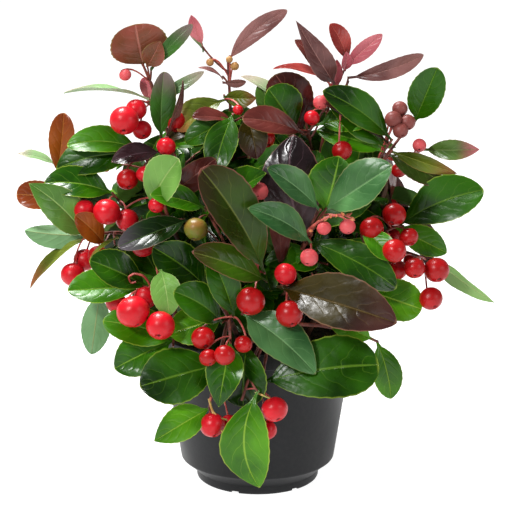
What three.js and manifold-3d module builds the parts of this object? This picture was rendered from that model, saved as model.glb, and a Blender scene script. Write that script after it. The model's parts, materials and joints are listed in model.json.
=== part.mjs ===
// Potted big berry wintergreen: a low evergreen shrub with large red berries, in its nursery pot.
// Millimetres, +Z up. The origin is the centre of the pot's flat underside, and the front faces -Y.
import * as THREE from "three";
import { mergeVertices } from "three/addons/utils/BufferGeometryUtils.js";
import Module from "manifold-3d";

const wasm = await Module();
wasm.setup();

// Driving sizes of the pot, a standard 12 cm nursery pot.
const POT_RIM_RADIUS = 60;
const POT_HEIGHT = 92;
const POT_RIM_DEPTH = 9;
const POT_RIM_ROUND = 0.8;
const POT_LIP = 3.2;
const POT_WALL = 1.5;
const POT_TAPER = 0.156;
const SHOULDER_HEIGHT = 14;
const SHOULDER_RADIUS = 45.3;
const SHOULDER_ROUND = 1.8;
const FOOT_RADIUS = 36;
const FOOT_HEIGHT = 5;
const FOOT_ROUND = 1.6;
const FLOOR_THICKNESS = 2.5;
const POT_SIDES = 32;
const DRAIN_COUNT = 4;
const DRAIN_RADIUS = 4;
const DRAIN_RING = 24;
const NOTCH_COUNT = 6;
const NOTCH_WIDTH = 5;
const NOTCH_DEPTH = 6;
const NOTCH_HEIGHT = 1.5;
const NOTCH_TURN = -112;

// Driving sizes of the soil and of the plant.
const CLEARANCE = 0.3;
const SKIN_TOLERANCE = 0.05;
const SOIL_TOP = 82;
const SOIL_EDGE = 4;
const SOIL_CLEARANCE = 0.7;
const SOIL_SIDES = 24;
const STEM_FOOT_RADIUS = 1.9;
const STEM_TIP_RADIUS = 1.3;
const STEM_SIDES = 5;
const STEM_STEPS = 3;
const STEM_LEAN = 0.4;
const STEM_RISE = 0.55;
const KNOT_RADIUS = 2.1;
const TWIG_ROOT_RADIUS = 1.25;
const TWIG_TIP_RADIUS = 0.8;
const TWIG_SIDES = 3;
const TWIG_STEPS = 2;
const TWIG_ARCH = 0.14;
const STALK_RADIUS = 0.6;
const STALK_STEPS = 2;
const STALK_START = 0.86;
const STALK_STEP = 0.09;
const STALK_ARCH = 2;
const BERRY_HANG = [5, 9];
const BERRY_SIZES = [11, 14];
const BERRY_SEGMENTS = 7;
const BERRY_RINGS = 4;
const BERRY_SHIFTS = [0, 2.5, -2.5, 5, -5, 8];
const LEAF_STEP = 2.6;
const LEAF_ROOT_DEPTH = 1.1;
const LEAF_HALF_THICKNESS = 0.42;
const LEAF_FOLD = 0.3;
const LEAF_BULGE = 0.07;

// A leaf's half width past its petiole, as shares of the length and of the full half width.
const FRONT_OUTLINE = [[0.5, 1], [0.82, 0.72]];
const GROWN_OUTLINE = [[0.58, 1]];
const PETIOLE_SHARE = 0.09;
const PETIOLE_HALF_WIDTH = 0.9;
const FREE_SHARE = 0.25;

// Leaves that the rule grows stay inside this round of the crown.
const CROWN_CENTRE = [3, 15, 138];
const CROWN_RADII = [104, 108, 88];
const HUB_SHARE = 0.5;
const FOOT_SHARE = 0.43;
const WHORL_LEAVES = 5;
const WHORL_SPREAD = [42, 72];
const WHORL_LIFT = 0.25;
const FRONT_FACING = [0, -0.8, 0.6];
const LEAF_SLENDERNESS = 0.54;
const GOLDEN_ANGLE = 137.5;
const LEAF_TURNS = [0, 5, -5, 10, -10, 16, -16, 24];

const rad = THREE.MathUtils.degToRad;
const vec = ([x, y, z]) => new THREE.Vector3(x, y, z);

// One mass of foliage in view: the foot of its stem on the soil, the hub where its twigs part,
// and its sprigs. A sprig is the tip of its twig, its leaves and its berries.
// A leaf is [clock, out, length, width, roll]: its clock angle as seen from the front, how far it
// points out of that view, its sizes, and its turn about its own midrib.
// A berry is [x, y, z, diameter].
const FRONT_MASSES = {
  top_left: {
    foot: [-16, -6],
    hub: [-40, -8, 166],
    sprigs: [
      { tip: [-67, -5, 247], leaves: [[107, 35, 34, 33, 0], [45, 10, 20, 10, 40]], berries: [] },
      { tip: [-60, -8, 245], leaves: [[48, 5, 37, 18, 50], [150, -30, 26, 14, 0]], berries: [] },
      { tip: [-62, -6, 228], leaves: [[175, 8, 48, 15, 62], [38, 10, 26, 10, 50]],
        berries: [[-74, -30, 219, 15.5], [-65, -16, 211, 12]] },
      { tip: [-55, -12, 207], leaves: [[79, 5, 36, 15, 20]],
        berries: [[-52, -28, 206, 10], [-46, -10, 215, 13]] },
    ],
  },
  top: {
    foot: [-6, 2],
    hub: [-14, 2, 178],
    sprigs: [
      { tip: [-25, 5, 250], leaves: [[120, 5, 28, 9, 35]], berries: [] },
      { tip: [-17, 0, 248], leaves: [[45, 5, 44, 15, 30]], berries: [] },
      { tip: [-20, 0, 239], leaves: [[150, 5, 15, 7, 50], [0, 5, 15, 7, 50]], berries: [] },
      { tip: [-19, -10, 230], leaves: [[-10, 20, 20, 11, 50], [210, 14, 32, 18, 10]], berries: [] },
      { tip: [-14, -20, 221], leaves: [[250, 30, 37, 17, 20], [214, 25, 30, 16, 0]], berries: [] },
    ],
  },
  top_right: {
    foot: [12, 3],
    hub: [34, 2, 176],
    sprigs: [
      { tip: [27, -10, 214], leaves: [[168, 10, 38, 17, 40], [121, 10, 40, 19, 30], [143, -15, 38, 14, 40]],
        berries: [[4, -25, 208, 11.5]] },
      { tip: [40, -2, 237], leaves: [[121, 5, 41, 17, 10], [158, 0, 34, 11, 40], [78, 5, 24, 10, 30]],
        berries: [[35, -18, 227, 8.5], [42, -15, 229, 7.5]] },
      { tip: [51, 0, 248], leaves: [[113, 5, 24, 13, 20], [47, 10, 27, 13, 30]], berries: [] },
      { tip: [51, -5, 237], leaves: [[16, 5, 44, 13, 50]], berries: [[47, -25, 203, 11.5]] },
    ],
  },
  right_upper: {
    foot: [20, -2],
    hub: [58, -8, 168],
    sprigs: [
      { tip: [88, -5, 217], leaves: [[64, 22, 38, 27, 0], [190, 10, 20, 16, 0]], berries: [] },
      { tip: [76, -12, 205], leaves: [[143, 12, 50, 24, 10], [153, 20, 36, 17, 20]], berries: [] },
      { tip: [76, -14, 199], leaves: [[-17, 15, 38, 12, 50], [-32, 22, 36, 20, 10]], berries: [] },
      { tip: [95, -5, 198], leaves: [[-5, 10, 30, 14, 20]], berries: [] },
    ],
  },
  right: {
    foot: [24, -14],
    hub: [60, -26, 146],
    sprigs: [
      { tip: [81, -20, 157], leaves: [[28, 10, 52, 24, 10], [-26, 5, 33, 17, 10]],
        berries: [[76, -36, 167, 13.5], [63, -45, 161, 13.5], [84, -40, 155, 11], [75, -55, 151, 13.5]] },
      { tip: [105, -24, 133], leaves: [[-29, 5, 35, 17, 150]],
        berries: [[100, -40, 136, 14.5], [87, -47, 139, 12], [97, -42, 120, 13.5]] },
      { tip: [58, -38, 124], leaves: [[-17, 8, 36, 25, 0]], berries: [] },
    ],
  },
  centre: {
    foot: [4, -16],
    hub: [22, -34, 138],
    sprigs: [
      { tip: [30, -45, 158], leaves: [[102, 15, 56, 32, 0], [150, 20, 38, 17, 30], [-24, 15, 55, 23, 0]],
        berries: [[28, -62, 149, 10], [36, -60, 165, 8]] },
      { tip: [38, -50, 174], leaves: [[39, 20, 47, 26, 0], [60, 5, 33, 13, 45]],
        berries: [[49, -56, 165, 9]] },
      { tip: [36, -58, 171], leaves: [[142, 20, 38, 17, 20]], berries: [] },
      { tip: [15, -60, 129], leaves: [[-13, 10, 63, 30, 0]],
        berries: [[15, -67, 141, 11.5], [17, -76, 121, 14]] },
    ],
  },
  centre_left: {
    foot: [-5, -18],
    hub: [-12, -38, 134],
    sprigs: [
      { tip: [4, -54, 138], leaves: [[119, 22, 61, 32, 0], [165, 22, 46, 19, 30]],
        berries: [[-4, -72, 127, 14.5]] },
      { tip: [-30, -40, 172], leaves: [[158, 15, 30, 15, 20]], berries: [[-34, -54, 163, 13]] },
    ],
  },
  left_upper: {
    foot: [-22, -8],
    hub: [-50, -18, 158],
    sprigs: [
      { tip: [-60, -38, 172], leaves: [[55, 30, 40, 20, 0], [215, 28, 36, 18, 20]], berries: [] },
      { tip: [-66, -14, 200], leaves: [[172, 10, 42, 17, 20], [187, 0, 50, 19, 20], [200, 25, 30, 13, 30]],
        berries: [[-73, -27, 185, 12.5], [-63, -31, 189, 10]] },
    ],
  },
  left: {
    foot: [-26, -4],
    hub: [-68, -16, 150],
    sprigs: [
      { tip: [-82, -25, 177], leaves: [[167, 10, 39, 21, 10], [160, 30, 20, 10, 180]],
        berries: [[-84, -38, 169, 13], [-74, -32, 162, 9]] },
      { tip: [-106, -12, 172], leaves: [[176, 5, 36, 17, 10], [176, -15, 34, 8, 40]], berries: [] },
      { tip: [-116, 0, 186], leaves: [[80, 5, 33, 15, 10], [162, 5, 22, 9, 30]], berries: [] },
      { tip: [-98, -30, 152],
        leaves: [[133, 20, 47, 23, 0], [222, 5, 42, 13, 40], [178, 0, 33, 16, 180], [100, 20, 24, 14, 0]],
        berries: [[-104, -35, 132, 14], [-92, -32, 145, 12]] },
    ],
  },
  left_low: {
    foot: [-18, -20],
    hub: [-46, -42, 118],
    sprigs: [
      { tip: [-64, -56, 131], leaves: [[182, 10, 42, 24, 0], [150, 15, 37, 22, 0]],
        berries: [[-68, -75, 121, 15], [-54, -78, 115, 15], [-78, -61, 122, 12]] },
      { tip: [-89, -48, 125], leaves: [[262, 5, 35, 17, 180]], berries: [] },
      { tip: [-47, -62, 98], leaves: [[160, 15, 38, 23, 0], [204, 15, 31, 22, 0]], berries: [] },
    ],
  },
  front_left: {
    foot: [-8, -26],
    hub: [-16, -54, 112],
    sprigs: [
      { tip: [-13, -66, 116], leaves: [[108, 12, 36, 18, 0], [140, 25, 36, 22, 0], [196, 28, 32, 18, 0]],
        berries: [[-28, -80, 104, 12], [-8, -80, 104, 10]] },
      { tip: [-30, -50, 130], leaves: [[140, 10, 38, 24, 0], [238, 25, 24, 16, 0]], berries: [] },
      { tip: [-15, -76, 104], leaves: [[261, 18, 34, 21, 0]],
        berries: [[-18, -90, 98, 11], [-27, -86, 93, 11]] },
      { tip: [-22, -70, 89], leaves: [[194, 12, 45, 34, 0]], berries: [] },
      { tip: [-27, -80, 67], leaves: [[208, 10, 33, 20, 0]], berries: [[-25, -84, 56, 13]] },
    ],
  },
  front: {
    foot: [10, -26],
    hub: [8, -56, 108],
    sprigs: [
      { tip: [-9, -66, 118], leaves: [[-36, 20, 51, 26, 0]], berries: [] },
      { tip: [-2, -72, 96], leaves: [[262, 10, 36, 20, 0]], berries: [] },
      { tip: [2, -74, 84], leaves: [[15, 8, 63, 33, 0]], berries: [] },
      { tip: [-9, -84, 74], leaves: [[280, 5, 51, 26, 0]], berries: [[9, -84, 66, 13.5]] },
      { tip: [68, -40, 94], leaves: [[285, 5, 35, 17, 0], [150, 10, 30, 16, 0]], berries: [] },
    ],
  },
};

// The masses that the front hides: the part of the crown that each fills, as degrees round from
// +X towards the back and degrees of rise, its share of the crown's radii, and its sprigs.
const HIDDEN_MASSES = {
  side_right: { turn: [-12, 38], rise: [0, 34], share: 0.74, leaf: [38, 48], sprigs: 4, berries: 3 },
  back_right: { turn: [44, 88], rise: [-4, 36], share: 0.74, leaf: [38, 48], sprigs: 5, berries: 4 },
  back_left: { turn: [94, 136], rise: [-4, 36], share: 0.74, leaf: [38, 48], sprigs: 5, berries: 4 },
  side_left: { turn: [146, 192], rise: [0, 34], share: 0.74, leaf: [38, 48], sprigs: 4, berries: 3 },
  back_low: { turn: [52, 128], rise: [-36, -16], share: 0.74, leaf: [38, 48], sprigs: 5, berries: 3 },
  back_top: { turn: [20, 160], rise: [40, 74], share: 0.78, leaf: [38, 48], sprigs: 7, berries: 1 },
  inner_right: { turn: [-84, -20], rise: [8, 62], share: 0.52, leaf: [44, 54], sprigs: 4, berries: 0 },
  inner_left: { turn: [-160, -96], rise: [8, 62], share: 0.52, leaf: [44, 54], sprigs: 4, berries: 0 },
  inner_low: { turn: [-150, -40], rise: [-34, -10], share: 0.46, leaf: [40, 50], sprigs: 4, berries: 0 },
};

// A small repeatable source of chance, from 0 to 1.
function chance(seed) {
  let state = seed;
  return () => {
    state = (state * 16807) % 2147483647;
    return state / 2147483647;
  };
}

// A closed geometry as a solid, and a solid as a geometry.
function solidOf(geometry) {
  const plain = new THREE.BufferGeometry();
  plain.setAttribute("position", geometry.getAttribute("position"));
  plain.setIndex(geometry.index);
  const merged = mergeVertices(plain, 1e-3);
  const mesh = new wasm.Mesh({
    numProp: 3,
    vertProperties: merged.attributes.position.array,
    triVerts: new Uint32Array(merged.index.array),
  });
  return new wasm.Manifold(mesh);
}

function geometryOf(solid) {
  const { vertProperties, triVerts } = solid.getMesh();
  const geometry = new THREE.BufferGeometry();
  geometry.setAttribute("position", new THREE.BufferAttribute(vertProperties, 3));
  geometry.setIndex(new THREE.BufferAttribute(triVerts, 1));
  geometry.computeVertexNormals();
  return geometry;
}

// A closed skin over rings of points, each ring the same number of points round. Its ends are flat
// faces, or points where they are given. Every second strip is split the other way, so that the two
// faces of a thin folded plate bend along the same lines.
function skin(rings, startPoint, endPoint) {
  const round = rings[0].length;
  const points = rings.flat();
  const last = points.length - round;
  const faces = [];
  for (let k = 0; k < round; k += 1) {
    const next = (k + 1) % round;
    for (let a = 0; a < last; a += round) {
      const b = a + round;
      if (k % 2) faces.push(a + k, a + next, b + k, a + next, b + next, b + k);
      else faces.push(a + k, a + next, b + next, a + k, b + next, b + k);
    }
    if (startPoint) faces.push(next, k, points.length);
    if (endPoint) faces.push(last + k, last + next, points.length + 1);
  }
  for (let k = 1; k + 1 < round; k += 1) {
    if (!startPoint) faces.push(0, k + 1, k);
    if (!endPoint) faces.push(last, last + k, last + k + 1);
  }
  const positions = [...points, startPoint ?? points[0], endPoint ?? points[0]].flatMap((p) => p.toArray());
  const geometry = new THREE.BufferGeometry();
  geometry.setAttribute("position", new THREE.Float32BufferAttribute(positions, 3));
  geometry.setIndex(faces);
  return geometry;
}

// A round limb along a curve, from one radius to the other.
function taperedLimb(curve, startRadius, endRadius, sides, steps) {
  const { normals, binormals } = curve.computeFrenetFrames(steps, false);
  const rings = [];
  for (let i = 0; i <= steps; i += 1) {
    const centre = curve.getPointAt(i / steps);
    const radius = THREE.MathUtils.lerp(startRadius, endRadius, i / steps);
    const ring = [];
    for (let k = 0; k < sides; k += 1) {
      const angle = (2 * Math.PI * k) / sides;
      const across = normals[i].clone().multiplyScalar(Math.cos(angle) * radius);
      const along = binormals[i].clone().multiplyScalar(Math.sin(angle) * radius);
      ring.push(centre.clone().add(across).add(along));
    }
    rings.push(ring);
  }
  return skin(rings);
}

// The twig from a hub to a sprig's tip rises first and then reaches out.
function twigCurve(hub, tip) {
  const middle = hub.clone().lerp(tip, 0.5);
  middle.z += TWIG_ARCH * hub.distanceTo(tip);
  return new THREE.QuadraticBezierCurve3(hub, middle, tip);
}

// A leaf blade: a thin folded plate, thickest along its midrib, from a root point inside its twig
// to its tip. Its free part alone starts a little way out.
function leafBlade(length, width, outline, whole) {
  const section = (share, reach) => {
    const x = share * length;
    const z = LEAF_BULGE * length * 4 * share * (1 - share);
    const edge = z + (2 * LEAF_FOLD * reach ** 2) / width;
    return [
      new THREE.Vector3(x, -reach, edge),
      new THREE.Vector3(x, 0, z - LEAF_HALF_THICKNESS),
      new THREE.Vector3(x, reach, edge),
      new THREE.Vector3(x, 0, z + LEAF_HALF_THICKNESS),
    ];
  };
  const sections = outline.map(([share, wide]) => section(share, (wide * width) / 2));
  const tip = new THREE.Vector3(length, 0, 0);
  if (whole) {
    const root = new THREE.Vector3(-LEAF_ROOT_DEPTH, 0, 0);
    return skin([section(PETIOLE_SHARE, PETIOLE_HALF_WIDTH), ...sections], root, tip);
  }
  const freeReach = (FREE_SHARE / outline[0][0]) * (width / 2);
  return skin([section(FREE_SHARE, freeReach), ...sections], undefined, tip);
}

// The frame of a leaf: x along it, z out of its upper side, which faces the given way.
function leafFrame(base, along, facing, roll) {
  const up = facing.clone().addScaledVector(along, -facing.dot(along)).normalize();
  up.applyAxisAngle(along, rad(roll));
  const across = up.clone().cross(along);
  return new THREE.Matrix4().makeBasis(along, across, up).setPosition(base);
}

function berryBall(centre, diameter) {
  const ball = new THREE.SphereGeometry(diameter / 2, BERRY_SEGMENTS, BERRY_RINGS);
  ball.rotateX(Math.PI / 2);
  ball.translate(...centre.toArray());
  return ball;
}

// The direction of a leaf from its clock angle and how far it points out of the front view.
function frontDirection(clock, out) {
  const flat = Math.cos(rad(out));
  return vec([flat * Math.cos(rad(clock)), -Math.sin(rad(out)), flat * Math.sin(rad(clock))]);
}

// The pot: one wall turned round the axis, with drain holes and notches in its foot.
function potWallAt(z) {
  return SHOULDER_RADIUS + POT_TAPER * (z - SHOULDER_HEIGHT);
}

function potProfile() {
  const rimUnder = POT_HEIGHT - POT_RIM_DEPTH;
  return [
    [0, 0],
    [FOOT_RADIUS - FOOT_ROUND, 0],
    [FOOT_RADIUS, FOOT_ROUND],
    [FOOT_RADIUS, FOOT_HEIGHT],
    [SHOULDER_RADIUS - SHOULDER_ROUND, SHOULDER_HEIGHT - SHOULDER_ROUND],
    [SHOULDER_RADIUS, SHOULDER_HEIGHT],
    [potWallAt(rimUnder), rimUnder],
    [POT_RIM_RADIUS - POT_RIM_ROUND, rimUnder],
    [POT_RIM_RADIUS, rimUnder + POT_RIM_ROUND],
    [POT_RIM_RADIUS, POT_HEIGHT - POT_RIM_ROUND],
    [POT_RIM_RADIUS - POT_RIM_ROUND, POT_HEIGHT],
    [POT_RIM_RADIUS - POT_LIP, POT_HEIGHT],
    [potWallAt(rimUnder) - POT_WALL, rimUnder - POT_RIM_ROUND],
    [SHOULDER_RADIUS - POT_WALL, SHOULDER_HEIGHT],
    [FOOT_RADIUS - POT_WALL, FOOT_HEIGHT + POT_WALL],
    [FOOT_RADIUS - POT_WALL, FLOOR_THICKNESS],
    [0, FLOOR_THICKNESS],
  ];
}

function potSolid() {
  const points = potProfile().map(([r, z]) => new THREE.Vector2(r, z));
  const turned = new THREE.LatheGeometry(points, POT_SIDES).rotateX(Math.PI / 2);
  let pot = solidOf(turned);
  for (let i = 0; i < DRAIN_COUNT; i += 1) {
    const angle = rad(45 + (360 * i) / DRAIN_COUNT);
    const hole = new THREE.CylinderGeometry(DRAIN_RADIUS, DRAIN_RADIUS, 4 * FLOOR_THICKNESS, 12);
    hole.rotateX(Math.PI / 2);
    hole.translate(DRAIN_RING * Math.cos(angle), DRAIN_RING * Math.sin(angle), 0);
    pot = pot.subtract(solidOf(hole));
  }
  for (let i = 0; i < NOTCH_COUNT; i += 1) {
    const notch = new THREE.BoxGeometry(2 * NOTCH_DEPTH, NOTCH_WIDTH, 2 * NOTCH_HEIGHT);
    notch.translate(FOOT_RADIUS, 0, 0);
    notch.rotateZ(rad(NOTCH_TURN + (360 * i) / NOTCH_COUNT));
    pot = pot.subtract(solidOf(notch));
  }
  return pot;
}

// The soil fills the pot up to a little below the rim, clear of its wall and floor.
function soilSolid() {
  const inset = POT_WALL + SOIL_CLEARANCE;
  const edgeHeight = SOIL_TOP - SOIL_EDGE / 2;
  const profile = [
    [0, FLOOR_THICKNESS + CLEARANCE],
    [FOOT_RADIUS - inset, FLOOR_THICKNESS + CLEARANCE],
    [FOOT_RADIUS - inset, FOOT_HEIGHT + inset],
    [SHOULDER_RADIUS - inset, SHOULDER_HEIGHT + SOIL_CLEARANCE],
    [potWallAt(edgeHeight) - inset, edgeHeight],
    [potWallAt(edgeHeight) - inset - SOIL_EDGE, SOIL_TOP],
    [0, SOIL_TOP],
  ];
  const points = profile.map(([r, z]) => new THREE.Vector2(r, z));
  return solidOf(new THREE.LatheGeometry(points, SOIL_SIDES).rotateX(Math.PI / 2));
}

// Solids that are already placed, each with its owner and its box.
const placed = [];

function boxesMeet(a, b) {
  return [0, 1, 2].every((i) => a.min[i] < b.max[i] + CLEARANCE && b.min[i] < a.max[i] + CLEARANCE);
}

function touchesOthers(solid, owner) {
  const box = solid.boundingBox();
  return placed.some((other) =>
    other.owner !== owner && boxesMeet(box, other.box)
    && solid.minGap(other.solid, 2 * CLEARANCE) < CLEARANCE);
}

// Whether the free part of a leaf crosses a free part of its own mass.
function crossesOwn(free, owner) {
  const box = free.boundingBox();
  return placed.some((other) =>
    other.owner === owner && other.free && boxesMeet(box, other.box)
    && free.minGap(other.free, CLEARANCE) < CLEARANCE / 2);
}

function place(solid, owner, free) {
  placed.push({ solid, owner, free, box: solid.boundingBox() });
}

// A stem from a flat foot on the soil to just short of its hub.
function stemSolid(foot, hub) {
  const start = new THREE.Vector3(foot[0], foot[1], SOIL_TOP + CLEARANCE);
  const rise = start.clone().lerp(hub, STEM_LEAN);
  rise.z = THREE.MathUtils.lerp(start.z, hub.z, STEM_RISE);
  const arrival = hub.clone().sub(rise).normalize();
  const end = hub.clone().addScaledVector(arrival, -KNOT_RADIUS - CLEARANCE);
  const curve = new THREE.QuadraticBezierCurve3(start, rise, end);
  const limb = taperedLimb(curve, STEM_FOOT_RADIUS, STEM_TIP_RADIUS, STEM_SIDES, STEM_STEPS);
  const position = limb.getAttribute("position");
  for (let k = 0; k < STEM_SIDES; k += 1) position.setZ(k, start.z);
  return { stem: solidOf(limb), arrival };
}

// Grows the hub and the twigs of a mass. Each sprig keeps its curve for the leaves.
// The hub is a knot with a corner that meets the stem's tip.
function growTwigs(mass) {
  const turn = new THREE.Quaternion().setFromUnitVectors(new THREE.Vector3(0, 0, 1), mass.arrival);
  const knot = new THREE.OctahedronGeometry(KNOT_RADIUS, 0).applyQuaternion(turn);
  place(solidOf(knot.translate(...mass.hub.toArray())), mass.name);
  for (const sprig of mass.sprigs) {
    sprig.curve = twigCurve(mass.hub, sprig.tip);
    const limb = taperedLimb(sprig.curve, TWIG_ROOT_RADIUS, TWIG_TIP_RADIUS, TWIG_SIDES, TWIG_STEPS);
    const solid = solidOf(limb);
    sprig.bare = touchesOthers(solid, mass.name);
    if (!sprig.bare) place(solid, mass.name);
  }
}

// Leaves sit one below the other from the tip of their twig.
function leafBase(sprig, rank) {
  return sprig.curve.getPointAt(1 - ((rank + 0.4) * LEAF_STEP) / sprig.curve.getLength());
}

// Adds one leaf, turned a little where it would touch something else, or leaves it out.
function growLeaf(mass, base, along, facing, { length, width, roll, outline }) {
  const blade = leafBlade(length, width, outline, true);
  const freeBlade = leafBlade(length, width, outline, false);
  const sideways = facing.clone().cross(along).normalize();
  for (const turn of LEAF_TURNS) {
    const turned = along.clone().applyAxisAngle(sideways, rad(turn));
    const frame = leafFrame(base, turned, facing, roll);
    const solid = solidOf(blade.clone().applyMatrix4(frame));
    const free = solidOf(freeBlade.clone().applyMatrix4(frame));
    if (!touchesOthers(solid, mass.name) && !crossesOwn(free, mass.name)) {
      place(solid, mass.name, free);
      return;
    }
  }
}

// Adds a berry, hung a little further out where something else is in its place, or leaves it out.
function growBerry(mass, sprig, wanted, diameter, rank) {
  const outward = wanted.clone().sub(vec(CROWN_CENTRE)).setZ(0).normalize();
  BERRY_SHIFTS.some((shift) =>
    hangBerry(mass, sprig, wanted.clone().addScaledVector(outward, shift), diameter, rank));
}

// Hangs a berry on its curved stalk from a point of the twig, where it has room.
function hangBerry(mass, sprig, centre, diameter, rank) {
  const start = sprig.curve.getPointAt(STALK_START - STALK_STEP * rank);
  const top = centre.clone().add(new THREE.Vector3(0, 0, 0.4 * diameter));
  const over = start.clone().lerp(top, 0.6);
  over.z = Math.max(start.z, top.z) + STALK_ARCH;
  const stalk = taperedLimb(
    new THREE.QuadraticBezierCurve3(start, over, top), STALK_RADIUS, STALK_RADIUS, TWIG_SIDES, STALK_STEPS);
  const ball = solidOf(berryBall(centre, diameter));
  const solid = solidOf(stalk).add(ball);
  if (touchesOthers(solid, mass.name) || crossesOwn(ball, mass.name)) return false;
  place(solid, mass.name, ball);
  return true;
}

// A sprig of the rule: a whorl of leaves round the tip of its twig.
function whorl(mass, sprig, random) {
  const outward = sprig.tip.clone().sub(vec(CROWN_CENTRE)).normalize();
  outward.z += WHORL_LIFT;
  outward.normalize();
  const side = new THREE.Vector3(0, 0, 1).cross(outward).normalize();
  const above = outward.clone().cross(side);
  const start = 360 * random();
  for (let i = 0; i < WHORL_LEAVES; i += 1) {
    const turn = rad(start + GOLDEN_ANGLE * i);
    const spread = rad(THREE.MathUtils.lerp(...WHORL_SPREAD, random()));
    const length = THREE.MathUtils.lerp(...mass.leaf, random());
    const along = outward.clone().multiplyScalar(Math.cos(spread));
    along.addScaledVector(side, Math.sin(spread) * Math.cos(turn));
    along.addScaledVector(above, Math.sin(spread) * Math.sin(turn));
    const base = leafBase(sprig, i);
    if (insideCrown(base.clone().addScaledVector(along, length))) {
      const width = LEAF_SLENDERNESS * length;
      growLeaf(mass, base, along, outward, { length, width, roll: 0, outline: GROWN_OUTLINE });
    }
  }
}

function insideCrown(point) {
  const centre = vec(CROWN_CENTRE);
  const radii = vec(CROWN_RADII);
  return point.clone().sub(centre).divide(radii).length() < 1;
}

// A point of the crown's round, at a share of its radii.
function crownPoint(turn, rise, share) {
  const flat = Math.cos(rad(rise));
  const direction = vec([flat * Math.cos(rad(turn)), flat * Math.sin(rad(turn)), Math.sin(rad(rise))]);
  return direction.multiply(vec(CROWN_RADII)).multiplyScalar(share).add(vec(CROWN_CENTRE));
}

// The sprigs of a hidden mass, spread evenly over its part of the crown.
function hiddenMass(name, { turn, rise, share, leaf, sprigs, berries }, random) {
  const middle = (range) => (range[0] + range[1]) / 2;
  const hub = crownPoint(middle(turn), middle(rise), HUB_SHARE * share);
  const tips = [];
  for (let i = 0; i < sprigs; i += 1) {
    const across = (i + 0.2 + 0.6 * random()) / sprigs;
    const up = (i * 0.618 + 0.5 * random()) % 1;
    const reach = share * (0.96 + 0.08 * random());
    tips.push(crownPoint(
      THREE.MathUtils.lerp(...turn, across), THREE.MathUtils.lerp(...rise, up), reach));
  }
  const foot = [hub.x * FOOT_SHARE, hub.y * FOOT_SHARE];
  return { name, foot, hub, leaf, berries, sprigs: tips.map((tip) => ({ tip })) };
}

// Joins what a mass owns into one solid, and drops any scrap that came loose.
function joinMass(name) {
  const own = placed.filter((piece) => piece.owner === name).map((piece) => piece.solid);
  const joined = own.reduce((sum, piece) => sum.add(piece));
  return joined.simplify(SKIN_TOLERANCE).decompose().sort((a, b) => b.volume() - a.volume())[0];
}

const plant = new THREE.Group();

const finishes = {
  pot: new THREE.MeshStandardMaterial({ color: 0x2b2b30, roughness: 0.45, metalness: 0 }),
  soil: new THREE.MeshStandardMaterial({ color: 0x2c2119, roughness: 0.95, metalness: 0 }),
  stem: new THREE.MeshStandardMaterial({ color: 0x6e2326, roughness: 0.7, metalness: 0 }),
  foliage: new THREE.MeshStandardMaterial({ color: 0x2f6b1a, roughness: 0.4, metalness: 0 }),
};

function addNode(name, solid, finish) {
  const mesh = new THREE.Mesh(geometryOf(solid), finishes[finish].clone());
  mesh.name = name;
  plant.add(mesh);
}

const random = chance(4021);
const frontMasses = Object.entries(FRONT_MASSES).map(([name, mass]) => ({
  name,
  foot: mass.foot,
  hub: vec(mass.hub),
  sprigs: mass.sprigs.map(({ tip, leaves, berries }) => ({ tip: vec(tip), leaves, berries })),
}));
const hiddenMasses = Object.entries(HIDDEN_MASSES).map(
  ([name, share]) => hiddenMass(name, share, random));
const masses = [...frontMasses, ...hiddenMasses];

const pot = potSolid();
const soil = soilSolid();
place(pot, "pot");
place(soil, "soil");
addNode("pot", pot, "pot");
addNode("soil", soil, "soil");

for (const mass of masses) {
  const { stem, arrival } = stemSolid(mass.foot, mass.hub);
  mass.arrival = arrival;
  place(stem, `stem_${mass.name}`);
  addNode(`stem_${mass.name}`, stem, "stem");
}
for (const mass of masses) growTwigs(mass);

for (const mass of frontMasses) {
  for (const sprig of mass.sprigs.filter(({ bare }) => !bare)) {
    sprig.leaves.forEach(([clock, out, length, width, roll], i) => {
      const base = leafBase(sprig, i);
      const shape = { length, width, roll, outline: FRONT_OUTLINE };
      growLeaf(mass, base, frontDirection(clock, out), vec(FRONT_FACING), shape);
    });
    sprig.berries.forEach(([x, y, z, diameter], rank) => {
      growBerry(mass, sprig, vec([x, y, z]), diameter, rank);
    });
  }
}
for (const mass of hiddenMasses) {
  for (const sprig of mass.sprigs.filter(({ bare }) => !bare)) whorl(mass, sprig, random);
  for (const sprig of mass.sprigs.filter(({ bare }) => !bare).slice(0, mass.berries)) {
    const outward = sprig.tip.clone().sub(vec(CROWN_CENTRE)).normalize();
    const below = sprig.tip.clone().addScaledVector(outward, BERRY_HANG[0]);
    below.z -= BERRY_HANG[1];
    growBerry(mass, sprig, below, THREE.MathUtils.lerp(...BERRY_SIZES, random()), 0);
  }
}
for (const mass of masses) addNode(`foliage_${mass.name}`, joinMass(mass.name), "foliage");

export default plant;
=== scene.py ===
"""Potted big berry wintergreen: glossy oval leaves, large red berries and a black nursery pot."""
import json
import math

import bpy
import numpy as np
from mathutils import Matrix, Vector
from mathutils.bvhtree import BVHTree

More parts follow.
